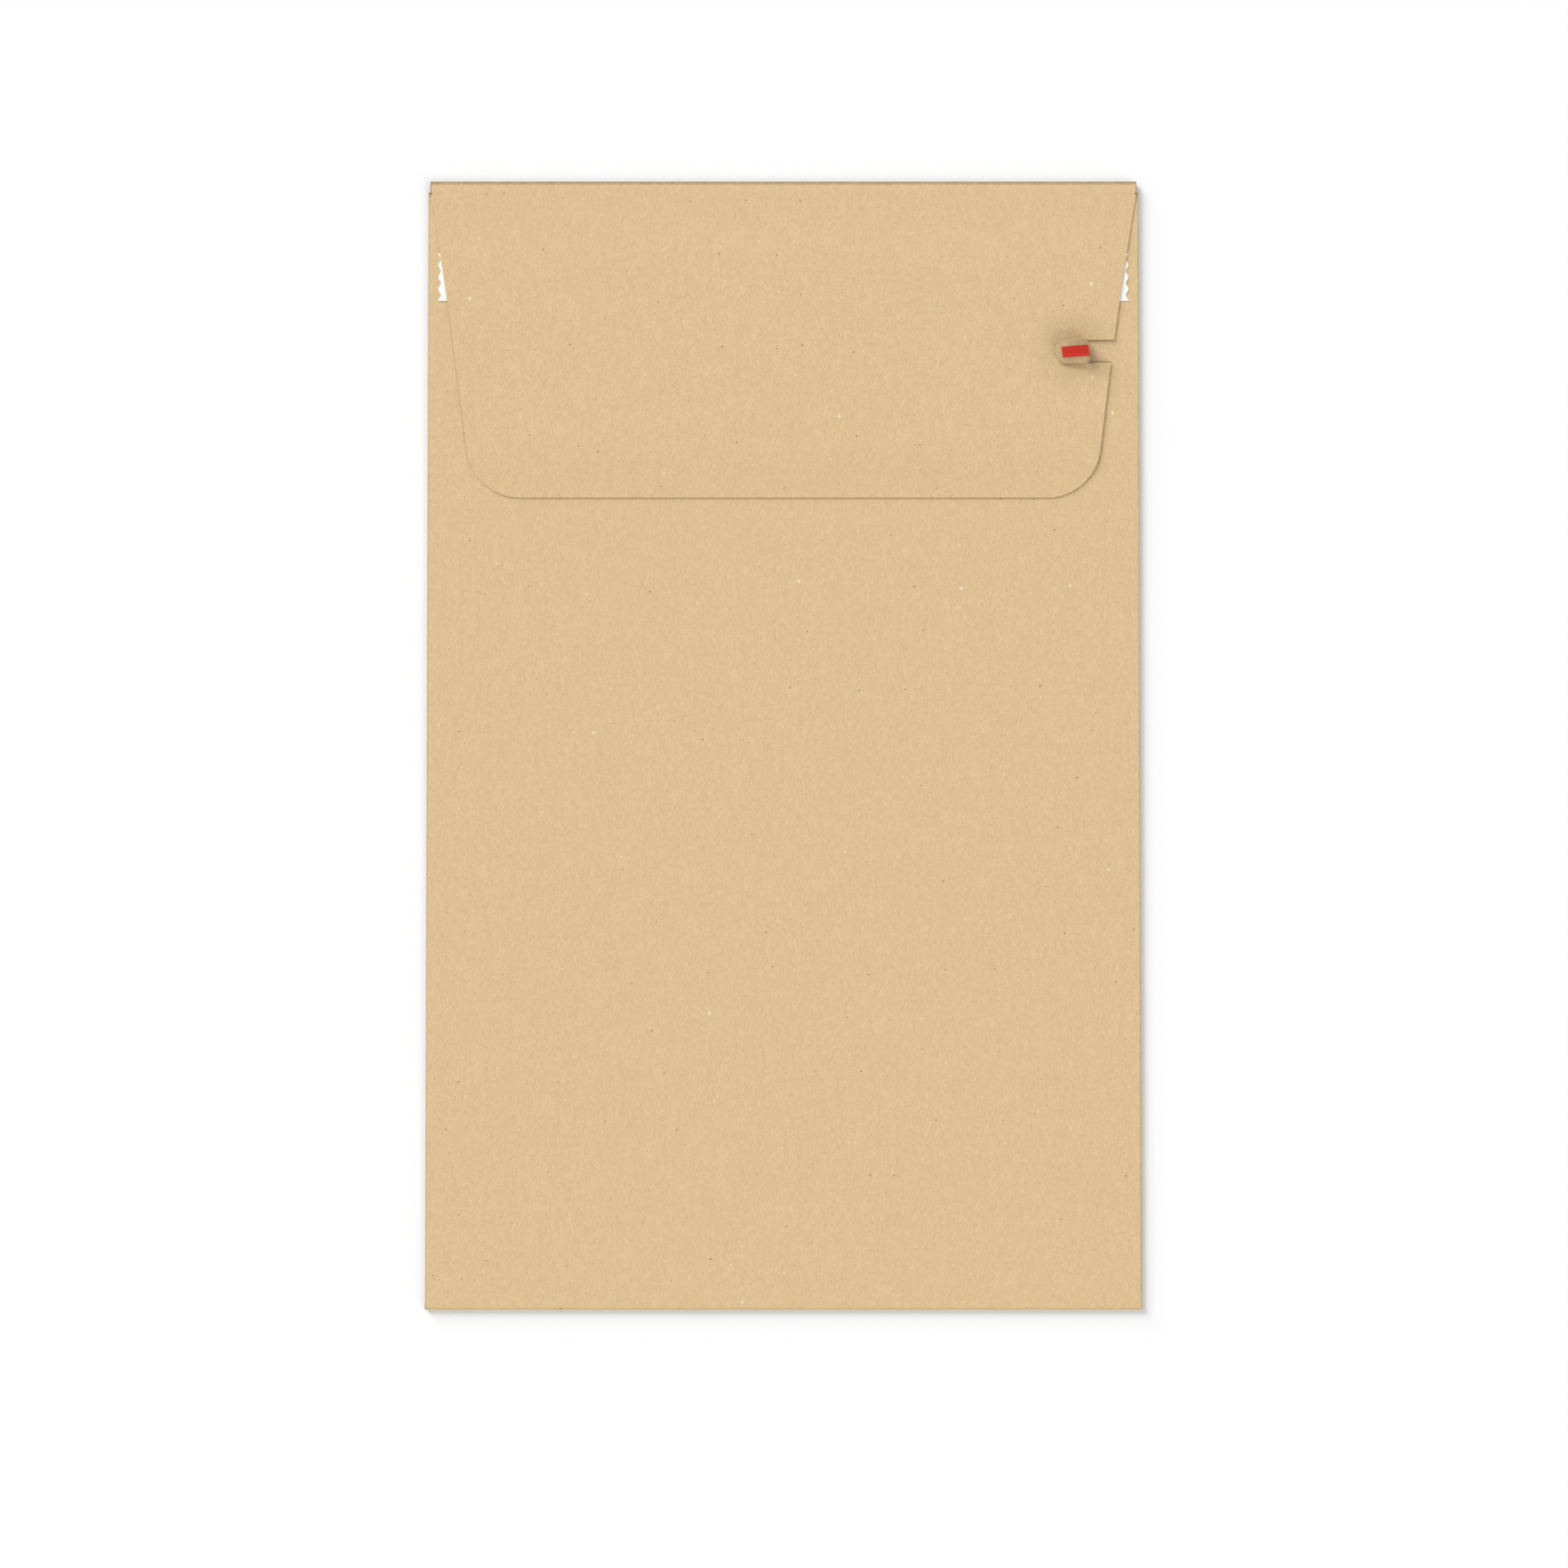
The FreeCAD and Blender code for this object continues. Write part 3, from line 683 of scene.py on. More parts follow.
    def painted_tab_shade(self, graph: Graph, place: bpy.types.NodeSocket) -> bpy.types.NodeSocket:
        """Painted shadow round the tab that was bent back by hand, and painted shade along its lower slit and
        on its leaf.
        """
        # Painted shadow in a soft halo round the tab's root.
        away = graph.vector("DISTANCE", place, self.tab_root + Vector(self.tab_shadow_shift))
        crease = graph.ramp(away.outputs["Value"], *self.tab_shadow_bounds)
        across, along, up = graph.split(graph.vector("SUBTRACT", place, self.tab_root).outputs[0])
        # Painted shade in a dark line along the lower slit.
        from_slit = graph.math("ABSOLUTE", graph.math("ADD", along, self.slit_reach))
        slit = graph.math("MULTIPLY", graph.ramp(from_slit, *self.slit_line),
                          graph.ramp(across, *self.slit_start))
        before_end = graph.math("LESS_THAN", across, self.slit_length - self.slit_rest)
        slit = graph.math("MULTIPLY", graph.math("MULTIPLY", slit, before_end), self.slit_shade)
        # Painted shade on the tab's leaf.
        leaf = graph.math("MULTIPLY", graph.ramp(up, *self.leaf_levels), self.leaf_shade)
        marks = graph.math("ADD", graph.math("MULTIPLY_ADD", crease, self.tab_shadow_depth, slit), leaf)
        return graph.math("MULTIPLY", marks, graph.math("GREATER_THAN", up, -self.marks_reach))


@dataclass(frozen=True)
class PlainFinish:
    """One colour whose tone, roughness and relief follow faint clouds or streaks."""

    colour: Colour
    stretch: Stretch
    patch: float
    detail: float
    cloud_depth: float
    gloss: Gloss

    def material(self, name: str) -> bpy.types.Material:
        """Build the material; returns it."""
        material, graph = new_material(name)
        cloud = mottle(graph, self.stretch, self.patch, self.detail)
        tone = graph.math("MULTIPLY_ADD", cloud, self.cloud_depth, 1.0)
        graph.surface(graph.tinted(self.colour, tone), cloud, self.gloss)
        return material


SILICONISED_PAPER = PlainFinish(
    colour=(0.965, 0.965, 0.92), stretch=(1.0, 2.0, 1.0), patch=3 * MM, detail=3.0, cloud_depth=0.012,
    gloss=Gloss(rough=0.45, play=0.05, specular=0.4))
HOT_MELT = PlainFinish(
    colour=(0.85, 0.80, 0.66), stretch=(0.15, 1.0, 1.0), patch=0.8 * MM, detail=2.0, cloud_depth=0.05,
    gloss=Gloss(rough=0.25, play=0.08, specular=0.5, relief=0.4))


@dataclass(frozen=True)
class TapeFinish:
    """Red tear film with fine lines drawn along it."""

    colour: Colour = (0.736, 0.040, 0.024)
    line_colour: Colour = (0.63, 0.026, 0.016)
    line_stretch: Stretch = (0.01, 1.0, 0.01)
    line_width: float = 0.35 * MM
    line_range: tuple[float, float] = (0.1, 0.9)
    gloss: Gloss = Gloss(rough=0.50, play=0.06, specular=0.2, relief=0.3)

    def material(self, name: str) -> bpy.types.Material:
        """Build the material; returns it."""
        material, graph = new_material(name)
        lines = mottle(graph, self.line_stretch, self.line_width, 1.0)
        base = graph.blend(graph.ramp(lines, *self.line_range), opaque(self.colour), opaque(self.line_colour))
        graph.surface(base, lines, self.gloss)
        return material


# --------------------------------------------------------------------------- how the bag lies


@dataclass
class Lie:
    """How the paper of this bag lies: never quite flat, spread at its bottom, its tab askew.

    One rule moves the points of every piece, so what touches stays in touch.
    """

    half_width: float
    bottom: float
    top: float
    tab_root: Vector
    tab_top: float
    flap_level: float
    flap_length: float
    leaf_length: float
    wave_height: float = 0.10 * MM
    wave_length: float = 85 * MM
    flare: float = 0.4 * MM
    flare_length: float = 3.2 * MM
    flare_fade: float = 1.5
    flare_sides: int = 8
    press: float = 0.14 * MM
    press_from: float = 3 * MM
    press_to: float = 24 * MM
    press_fullness: float = 0.7
    tuck: float = 0.43 * MM
    tuck_length: float = 16 * MM
    tab_half: float = 3.9 * MM
    tab_ends: tuple[float, float] = (-14 * MM, 4 * MM)
    leaf_floor: float = 0.25 * MM
    curl_floor: float = -0.2 * MM
    tab_skew: float = math.radians(2.2)
    tab_spring: float = 1.4
    tab_roll: float = 1.8 * MM
    tip_droop: float = 0.6
    tab_lean: float = 0.12
    tab_shift: float = 0.6 * MM
    dent: float = 0.42
    dent_size: tuple[float, float] = (4.5 * MM, 4 * MM)

    def place(self, at: Vector) -> Vector:
        """Where a point of the ideal bag lies on this one.

        Args:
            at: The point on the ideal bag.

        Returns:
            The moved point.
        """
        moved = self.turn_tab(at.copy())
        moved.z += self.wave_height * (noise.noise(Vector((at.x, at.y, 0)) / self.wave_length) + 1) / 2
        moved.z -= self.pressed(at) + self.dented(at)
        spread = max(0.0, 1 - (at.y - self.bottom) / self.flare_length) ** self.flare_fade
        edge = (abs(at.x) / self.half_width) ** self.flare_sides
        moved.x += math.copysign(self.flare * spread, at.x) * edge
        return moved

    def pressed(self, at: Vector) -> float:
        """How much lower the flap lies where it is pressed on to the bag near its top fold."""
        share = (self.top - at.y - self.press_from) / (self.press_to - self.press_from)
        if at.z < self.flap_level or not 0 < share < 1:
            return 0.0
        return self.press * math.sin(math.pi * share) ** self.press_fullness

    def dented(self, at: Vector) -> float:
        """How much lower the layers lie where the tab was bent back, and the flap at its free edge."""
        away = Vector(((at.x - self.tab_root.x) / self.dent_size[0],
                       (at.y - self.tab_root.y) / self.dent_size[1]))
        lower = self.dent * min(at.z, self.tab_root.z) * math.exp(-away.length_squared)
        share = 1 - (at.y - self.top + self.flap_length) / self.tuck_length
        if at.z > self.flap_level and share > 0:
            lower += self.tuck * share * share * (3 - 2 * share)
        return lower

    def turn_tab(self, at: Vector) -> Vector:
        """Turn, lean and lift the curled-back tab about its root, more the further it has curled."""
        off = at - self.tab_root
        near = abs(off.y) < self.tab_half and self.tab_ends[0] < off.x < self.tab_ends[1]
        if not near or off.z < (self.leaf_floor if off.x <= 0 else self.curl_floor):
            return at
        share = 1.0
        if off.x > 0:
            centre = (self.tab_top - self.tab_root.z) / 2
            share = (math.atan2(off.z - centre, off.x) + math.pi / 2) / math.pi
        off.x -= self.tab_lean * off.y * math.sin(min(1.0, 2 * share) * math.pi / 2)
        share *= share * (3 - 2 * share)
        along = min(1.0, max(0.0, -off.x / self.leaf_length))
        roll = self.tab_roll * share * (1 - self.tip_droop * along ** 2)
        off.z = off.z * self.tab_spring + roll * off.y / self.tab_half
        turn = Matrix.Rotation(self.tab_skew * share, 3, "Z")
        return self.tab_root + turn @ off - Vector((0, self.tab_shift * share, 0))

    def lay(self, piece: bpy.types.Object) -> None:
        """Move all points of a piece to where they lie."""
        shape(piece, self.place)


# --------------------------------------------------------------------------- sub-assemblies


def refine(piece: bpy.types.Object, centre: Vector, reach: float = 10 * MM, step: float = 1.25 * MM) -> None:
    """Divide a sheet finely round a place, so that it can take a small dent.

    Args:
        piece: The sheet, open in edit mode.
        centre: Middle of the place.
        reach: How far the fine part goes to each side.
        step: Distance between the cuts.
    """
    count = round(reach / step)
    for axis in (0, 1):
        divide(piece, axis, [centre[axis] + index * step for index in range(-count, count + 1)],
            lambda at: abs(at.x - centre.x) < reach and abs(at.y - centre.y) < reach)


@dataclass
class FlapFrame:
    """The closing flap's own frame: its origin is the centre of the top fold, XY along the flap."""

    along: float
    height: float
    rise: float

    def set_down(self, piece: bpy.types.Object) -> None:
        """Carry a piece that was drawn in this frame over to the bag's frame."""
        piece.location = (0, self.along, self.height)
        piece.rotation_euler = (-self.rise, 0, 0)
        settle_transform(piece)


@dataclass
class Paper:
    """Sizes of the folded sheet that all pieces share."""

    half_width: float
    top: float
    tear_line: float
    thickness: float = 0.18 * MM
    layer_gap: float = 0.25 * MM
    gusset_depth: float = 25 * MM
    bottom_flap: float = 22 * MM
    mouth_drop: float = 4 * MM
    neck_inset: float = 0.75 * MM
    roll_radius: float = 0.95 * MM
    flap_length: float = 111.8 * MM
    flap_taper: float = 14.9 * MM
    flap_bow: float = 0.8 * MM
    flap_corner: float = 19 * MM
    flap_rest_gap: float = 0.55 * MM
    tab_width: float = 7.7 * MM
    slit_gap: float = 0.1 * MM
    slit_length: float = 11.0 * MM
    curl_radius: float = 1.4 * MM
    leaf_length: float = 9.9 * MM
    tip_lift: float = 0.6 * MM
    tip_radius: float = 3.5 * MM
    curl_steps: int = 16

    @property
    def tube_height(self) -> float:
        """Height of the four pressed layers at the tube's sides."""
        return 4 * self.thickness + 3 * self.layer_gap

    @property
    def tube_top(self) -> float:
        """Level of the rear panel's face."""
        return self.thickness + self.tube_height

    @property
    def front(self) -> float:
        """Level of the front panel's middle."""
        return 1.5 * self.thickness

    @property
    def rear(self) -> float:
        """Level of the rear panel's middle."""
        return self.tube_top - self.thickness / 2

    @property
    def crease(self) -> float:
        """Where the sheet begins to turn at a side of the tube, across the bag."""
        return self.half_width - self.thickness - self.layer_gap / 2

    @property
    def layer(self) -> float:
        """Distance from one layer's middle to the next one's."""
        return self.thickness + self.layer_gap

    @property
    def neck(self) -> float:
        """Half width of the flap's neck."""
        return self.half_width - self.neck_inset

    @property
    def mouth(self) -> float:
        """Place of the mouth edge."""
        return self.top - self.mouth_drop

    @property
    def bottom_turn(self) -> float:
        """Radius of the bottom turn, to the middle of the paper."""
        return self.tube_height / 2

    @property
    def tube_end(self) -> float:
        """Place of the tube's cut bottom end."""
        return self.bottom_turn + self.thickness / 2 - self.top

    @property
    def reach(self) -> float:
        """Length of the flap's panel from the top fold's centre to its free edge."""
        return self.flap_length - self.roll_radius

    @property
    def shoulder(self) -> float:
        """Place of the shoulders, where the flap's taper begins, in the flap's frame."""
        return self.roll_radius - self.mouth_drop

    @property
    def opening(self) -> float:
        """Half width of the gap that the tab leaves in the flap."""
        return self.tab_width / 2 + self.slit_gap

    @property
    def flap_frame(self) -> FlapFrame:
        """The closing flap's own frame."""
        rise = self.tube_top + self.flap_rest_gap - 2 * self.roll_radius
        return FlapFrame(self.top - self.roll_radius, self.thickness + self.roll_radius,
                         math.asin(rise / self.reach))

    @property
    def tear_y(self) -> float:
        """Place of the tear line in the flap's frame."""
        return self.tear_line - self.flap_frame.along

    def down_side(self, y: float) -> float:
        """How far down the flap's side a place in its own frame lies: 0 at the shoulder, 1 at its end."""
        return min(1.0, max(0.0, (self.shoulder - y) / (self.reach + self.shoulder)))

    def side(self, y: float) -> float:
        """Half width of the flap at a place in its own frame, before its sides are bowed in."""
        return self.neck - self.flap_taper * self.down_side(y)

    def bow(self, at: Vector) -> Vector:
        """Move a point of the straight-sided flap in with its bowed side."""
        share = self.down_side(at.y)
        inward = self.flap_bow * 4 * share * (1 - share) / self.side(at.y)
        return Vector((at.x * (1 - inward), at.y, at.z))

    @property
    def tab_root(self) -> float:
        """Where the pull tab's curl begins, across the bag."""
        return self.side(self.tear_y) - self.slit_length

    @property
    def leaf_slope(self) -> float:
        """Slope of the tab's straight leaf down to its tip."""
        return math.asin((2 * self.curl_radius - self.tip_lift) / self.leaf_length)

    def curl(self, leaf: float) -> None:
        """Carry the selected edge, in the flap's frame, round the tab's curl and along its leaf."""
        centre = Vector((self.tab_root, self.tear_y, self.roll_radius + self.curl_radius))
        fold(centre, Vector((0, -1, 0)), math.pi + self.leaf_slope, self.curl_steps)
        run(Vector((-math.cos(self.leaf_slope), 0, -math.sin(self.leaf_slope))), leaf)

    def curl_end(self, leaf: float) -> float:
        """How far the end of the tab's leaf lies from the root, across the bag."""
        radius = self.curl_radius + self.thickness / 2
        return leaf * math.cos(self.leaf_slope) + radius * math.sin(self.leaf_slope)


@dataclass
class PaperBag:
    """The bag itself: tube with gussets, bottom flap, neck, top fold, closing flap and pull tab."""

    paper: Paper
    lie: Lie
    finish: KraftFinish
    cell: float = 5 * MM
    turn_steps: int = 14
    tip_steps: int = 10
    leaf_cuts: tuple[float, ...] = (0.15, 0.3, 0.45, 0.6)
    name: str = "bag_paper"
    columns: list[float] = field(default_factory=list)

    def build(self) -> bpy.types.Object:
        """Make the folded sheet, thicken it and dress it; returns the piece."""
        tube = self.tube()
        self.neck_and_fold(tube)
        self.bottom(tube)
        bag = join(tube, self.flap())
        self.lie.lay(bag)
        for material in (self.finish.material("kraft"), self.finish.material("kraft_cut_edge", cut=True)):
            bag.data.materials.append(material)
        thicken(bag, self.paper.thickness, rim_slot=1)
        return bag

    def tube(self) -> bpy.types.Object:
        """Front panel, folded on into the gussets and the rear panel at both sides."""
        paper = self.paper
        front = plane(self.name, Vector((-paper.neck, paper.tube_end, paper.front)),
                      Vector((paper.neck, paper.mouth, paper.front)))
        self.columns = between(-paper.neck, paper.neck, round(2 * paper.neck / self.cell))
        rows = between(paper.tube_end, paper.mouth, round((paper.mouth - paper.tube_end) / self.cell))
        rows += [paper.tube_end + share * self.lie.flare_length for share in EVEN_CUTS]
        with editing(front):
            divide(front, 0, self.columns)
            divide(front, 1, rows)
            for side in (1, -1):
                pick(front, Part.EDGES, lambda at: abs(at.x - side * paper.neck) < CUT)
                self.fold_side(side)
            refine(front, Vector((paper.tab_root, paper.tear_line, 0)))
            weld()
        return front

    def fold_side(self, side: int) -> None:
        """Fold the sheet from the front panel's side through the gusset to the rear panel's middle.

        Args:
            side: 1 for the +X side and -1 for the other.
        """
        paper = self.paper
        inside = paper.half_width - paper.gusset_depth + paper.thickness + paper.layer_gap / 2
        depth, rows = paper.crease - inside, round(paper.gusset_depth / self.cell)
        out = Vector((side, 0, 0))
        axis = Vector((0, -side, 0))
        run(out, paper.crease - paper.neck)
        fold(Vector((side * paper.crease, 0, paper.front + paper.layer / 2)), axis, math.pi)
        run(-out, depth, steps=rows)
        fold(Vector((side * inside, 0, paper.front + 1.5 * paper.layer)), -axis, math.pi)
        run(out, depth, steps=rows)
        fold(Vector((side * paper.crease, 0, paper.rear - paper.layer / 2)), axis, math.pi)
        run(-out, paper.crease - paper.neck)
        run(-out, paper.neck, steps=len(self.columns) // 2 + 1)

    def neck_and_fold(self, tube: bpy.types.Object) -> None:
        """Carry the front panel on past the mouth and round the top fold."""
        paper = self.paper
        at_flap = paper.flap_frame
        with editing(tube):
            pick(tube, Part.EDGES, lambda at: abs(at.y - paper.mouth) < CUT and at.z < paper.front + CUT
                 and abs(at.x) < paper.neck)
            run(Vector((0, 1, 0)), at_flap.along - paper.mouth)
            fold(Vector((0, at_flap.along, at_flap.height)), Vector((1, 0, 0)), math.pi - at_flap.rise,
                 self.turn_steps)

    def bottom(self, tube: bpy.types.Object) -> None:
        """Carry the rear panel round the tube's end and back under the front panel."""
        paper = self.paper
        with editing(tube):
            pick(tube, Part.EDGES, lambda at: abs(at.y - paper.tube_end) < CUT
                 and abs(at.z - paper.rear) < CUT and abs(at.x) < paper.crease)
            fold(Vector((0, paper.tube_end, paper.rear - paper.bottom_turn)), Vector((1, 0, 0)), math.pi,
                 self.turn_steps)
            run(Vector((0, 1, 0)), paper.bottom_flap, steps=round(paper.bottom_flap / self.cell))

    def flap(self) -> bpy.types.Object:
        """Closing flap with its tapered, bowed sides, round corners, slits and pull tab."""
        paper = self.paper
        level = paper.roll_radius - paper.thickness / 2
        flap = plane("flap", Vector((-paper.neck, paper.shoulder, level)), Vector((paper.neck, 0, level)))
        length = paper.reach + paper.shoulder
        taper = (paper.neck - paper.flap_taper) / paper.neck
        turn = math.pi / 2 + math.atan(paper.flap_taper / length)
        count = round(paper.flap_length / self.cell)
        rows = [paper.tear_y + self.cell * (index + 0.5) for index in range(-count, count)]
        with editing(flap):
            pick(flap, Part.EDGES, lambda at: abs(at.y - paper.shoulder) < CUT)
            run(Vector((0, -1, 0)), length)
            bpy.ops.transform.resize(value=(taper, 1, 1), center_override=(0, 0, 0))
            pick(flap, Part.POINTS, lambda at: at.y < -paper.reach + CUT)
            bpy.ops.mesh.bevel(offset=paper.flap_corner / math.tan(turn / 2), segments=self.turn_steps,
                               affect="VERTICES", clamp_overlap=False)
            divide(flap, 0, self.columns)
            divide(flap, 1, [row for row in rows if -paper.reach < row < paper.shoulder - self.cell / 2])
        shape(flap, paper.bow)
        with editing(flap):
            refine(flap, Vector((paper.tab_root, paper.tear_y, 0)))
            self.open_slits(flap)
            self.add_tab(flap, level)
        paper.flap_frame.set_down(flap)
        return flap

    def open_slits(self, flap: bpy.types.Object) -> None:
        """Cut the slits beside the tab and take away the paper that was turned back."""
        paper = self.paper
        half = paper.tab_width / 2

        def beside_tab(at: Vector) -> bool:
            """Whether a place lies within two cells of the tab's root."""
            return abs(at.y - paper.tear_y) < 2 * self.cell and at.x > paper.tab_root - 2 * self.cell

        divide(flap, 0, [paper.tab_root], beside_tab)
        divide(flap, 1, [paper.tear_y + reach for reach in (paper.opening, half, -half, -paper.opening)],
            beside_tab)
        pick(flap, Part.FACES, lambda at: abs(at.y - paper.tear_y) < paper.opening and at.x > paper.tab_root)
        bpy.ops.mesh.delete(type="FACE")

    def add_tab(self, flap: bpy.types.Object, level: float) -> None:
        """Curl the tab up and back over the flap, round its tip and divide its leaf.

        Args:
            flap: The flap, open in edit mode.
            level: Level of the flap's paper in its own frame.
        """
        paper = self.paper
        half = paper.tab_width / 2

        def on_leaf(at: Vector) -> bool:
            """Whether a place lies on the curled-back leaf."""
            return at.z > level + paper.thickness

        pick(flap, Part.EDGES, lambda at: abs(at.x - paper.tab_root) < CUT
             and abs(at.y - paper.tear_y) < half)
        paper.curl(paper.leaf_length)
        tip = paper.tab_root - paper.curl_end(paper.leaf_length)
        angles = [math.pi / 2 * step / self.tip_steps for step in range(self.tip_steps + 1)]
        places = [tip + paper.tip_radius * (1 - math.cos(angle)) for angle in angles]
        divide(flap, 0, [paper.tab_root - share * paper.leaf_length for share in self.leaf_cuts], on_leaf)
        divide(flap, 0, places[1:], on_leaf)
        for place, angle in zip(places[:-1], angles):
            width = half - paper.tip_radius * (1 - math.sin(angle))
            pick(flap, Part.POINTS, lambda at: on_leaf(at) and abs(at.x - place) < CUT)
            bpy.ops.transform.resize(value=(1, width / half, 1),
                                     center_override=(0, paper.tear_y, 0))


@dataclass
class TearTape:
    """Red tape on the inside of the flap, which comes round the curl onto the tab."""

    paper: Paper
    lie: Lie
    finish: TapeFinish
    width: float
    thickness: float = 0.1 * MM
    end_gap: float = 2.3 * MM
    columns: int = 40
    rows: int = 3
    name: str = "tape_film"

    def build(self) -> bpy.types.Object:
        """Make the tape, thicken it and dress it; returns the piece."""
        paper = self.paper
        level = paper.roll_radius - paper.thickness - self.thickness / 2
        far_corner = self.trim(Vector((-paper.neck, paper.tear_y + self.width / 2, level)))
        low = Vector((far_corner.x, paper.tear_y - self.width / 2, level))
        high = Vector((paper.tab_root, paper.tear_y + self.width / 2, level))
        tape = plane(self.name, low, high)
        with editing(tape):
            divide(tape, 1, between(low.y, high.y, self.rows))
            divide(tape, 0, between(low.x, high.x, self.columns))
            refine(tape, Vector((paper.tab_root, paper.tear_y, 0)))
            pick(tape, Part.EDGES, lambda at: abs(at.x - paper.tab_root) < CUT)
            paper.curl(paper.leaf_length - self.end_gap)
            divide(tape, 0, [paper.tab_root - share * paper.leaf_length for share in EVEN_CUTS],
                lambda at: at.z > paper.roll_radius)
        shape(tape, self.trim)
        paper.flap_frame.set_down(tape)
        self.lie.lay(tape)
        tape.data.materials.append(self.finish.material("tear_film"))
        thicken(tape, self.thickness)
        return tape

    def trim(self, at: Vector) -> Vector:
        """Draw the tape's far end in to the flap's bowed side."""
        side = self.paper.bow(Vector((-self.paper.side(at.y), at.y, at.z))).x
        return Vector((max(at.x, side), at.y, at.z))


@dataclass
class Strip:
    """Flat strip of adhesive, or the release liner over it with a serrated cut at both ends."""

    name: str
    low: Vector
    high: Vector
    thickness: float
    teeth: int = 0
    tooth_depth: float = 1.3 * MM
    tooth_round: float = 0.65 * MM
    tooth_steps: int = 4
    cell: float = 4.5 * MM
    flap_frame: FlapFrame | None = None

    def build(self, lie: Lie, material: bpy.types.Material) -> bpy.types.Object:
        """Make the strip, thicken it and dress it.

        Args:
            lie: How the bag lies.
            material: The strip's finish.

        Returns:
            The piece.
        """
        strip = plane(self.name, self.low, self.high)
        with editing(strip):
            if self.teeth:
                self.cut_teeth(strip)
            inner = self.high.x - 2 * self.tooth_depth
            columns = between(-inner, inner, round((self.high.x - self.low.x) / self.cell))
            divide(strip, 0, [-inner, *columns, inner])
        if self.flap_frame:
            self.flap_frame.set_down(strip)
        lie.lay(strip)
        strip.data.materials.append(material)
        thicken(strip, self.thickness)
        return strip

    def cut_teeth(self, strip: bpy.types.Object) -> None:
        """Serrate both ends and take the sharpness off the teeth's tips and roots."""
        pick(strip, Part.EDGES, lambda at: abs(at.x) > self.high.x - CUT)
        bpy.ops.mesh.subdivide(number_cuts=2 * self.teeth - 1)
        pitch = (self.high.y - self.low.y) / self.teeth
        pick(strip, Part.POINTS, lambda at: abs(at.x) > self.high.x - CUT
             and round(2 * (at.y - self.low.y) / pitch) % 2 == 1)
        share = (self.high.x - self.tooth_depth) / self.high.x
        bpy.ops.transform.resize(value=(share, 1, 1), center_override=(0, 0, 0))
        pick(strip, Part.POINTS, lambda at: self.low.y + CUT < at.y < self.high.y - CUT)
        bpy.ops.mesh.bevel(offset=self.tooth_round, segments=self.tooth_steps, affect="VERTICES")
        bpy.ops.mesh.select_all(action="SELECT")
        bpy.ops.mesh.dissolve_limited(angle_limit=STRAIGHT)


# --------------------------------------------------------------------------- studio


@dataclass(frozen=True)
class Softbox:
    """A large lamp so far off that it lights the whole floor evenly."""

    name: str
    azimuth: float
    elevation: float
    spread: float
    share: float

    def hang(self) -> None:
        """Put the lamp up, with the power that gives its share of the plain light level."""
        lamp = bpy.data.lights.new(self.name, "SUN")
        lamp.angle = self.spread
        lamp.energy = self.share * math.pi / math.sin(self.elevation)
        holder = bpy.data.objects.new(self.name, lamp)
        bpy.context.scene.collection.objects.link(holder)
        towards = Vector((math.cos(self.elevation) * math.cos(self.azimuth),
                          math.cos(self.elevation) * math.sin(self.azimuth), math.sin(self.elevation)))
        holder.location = towards
        holder.rotation_euler = towards.to_track_quat("Z", "Y").to_euler()


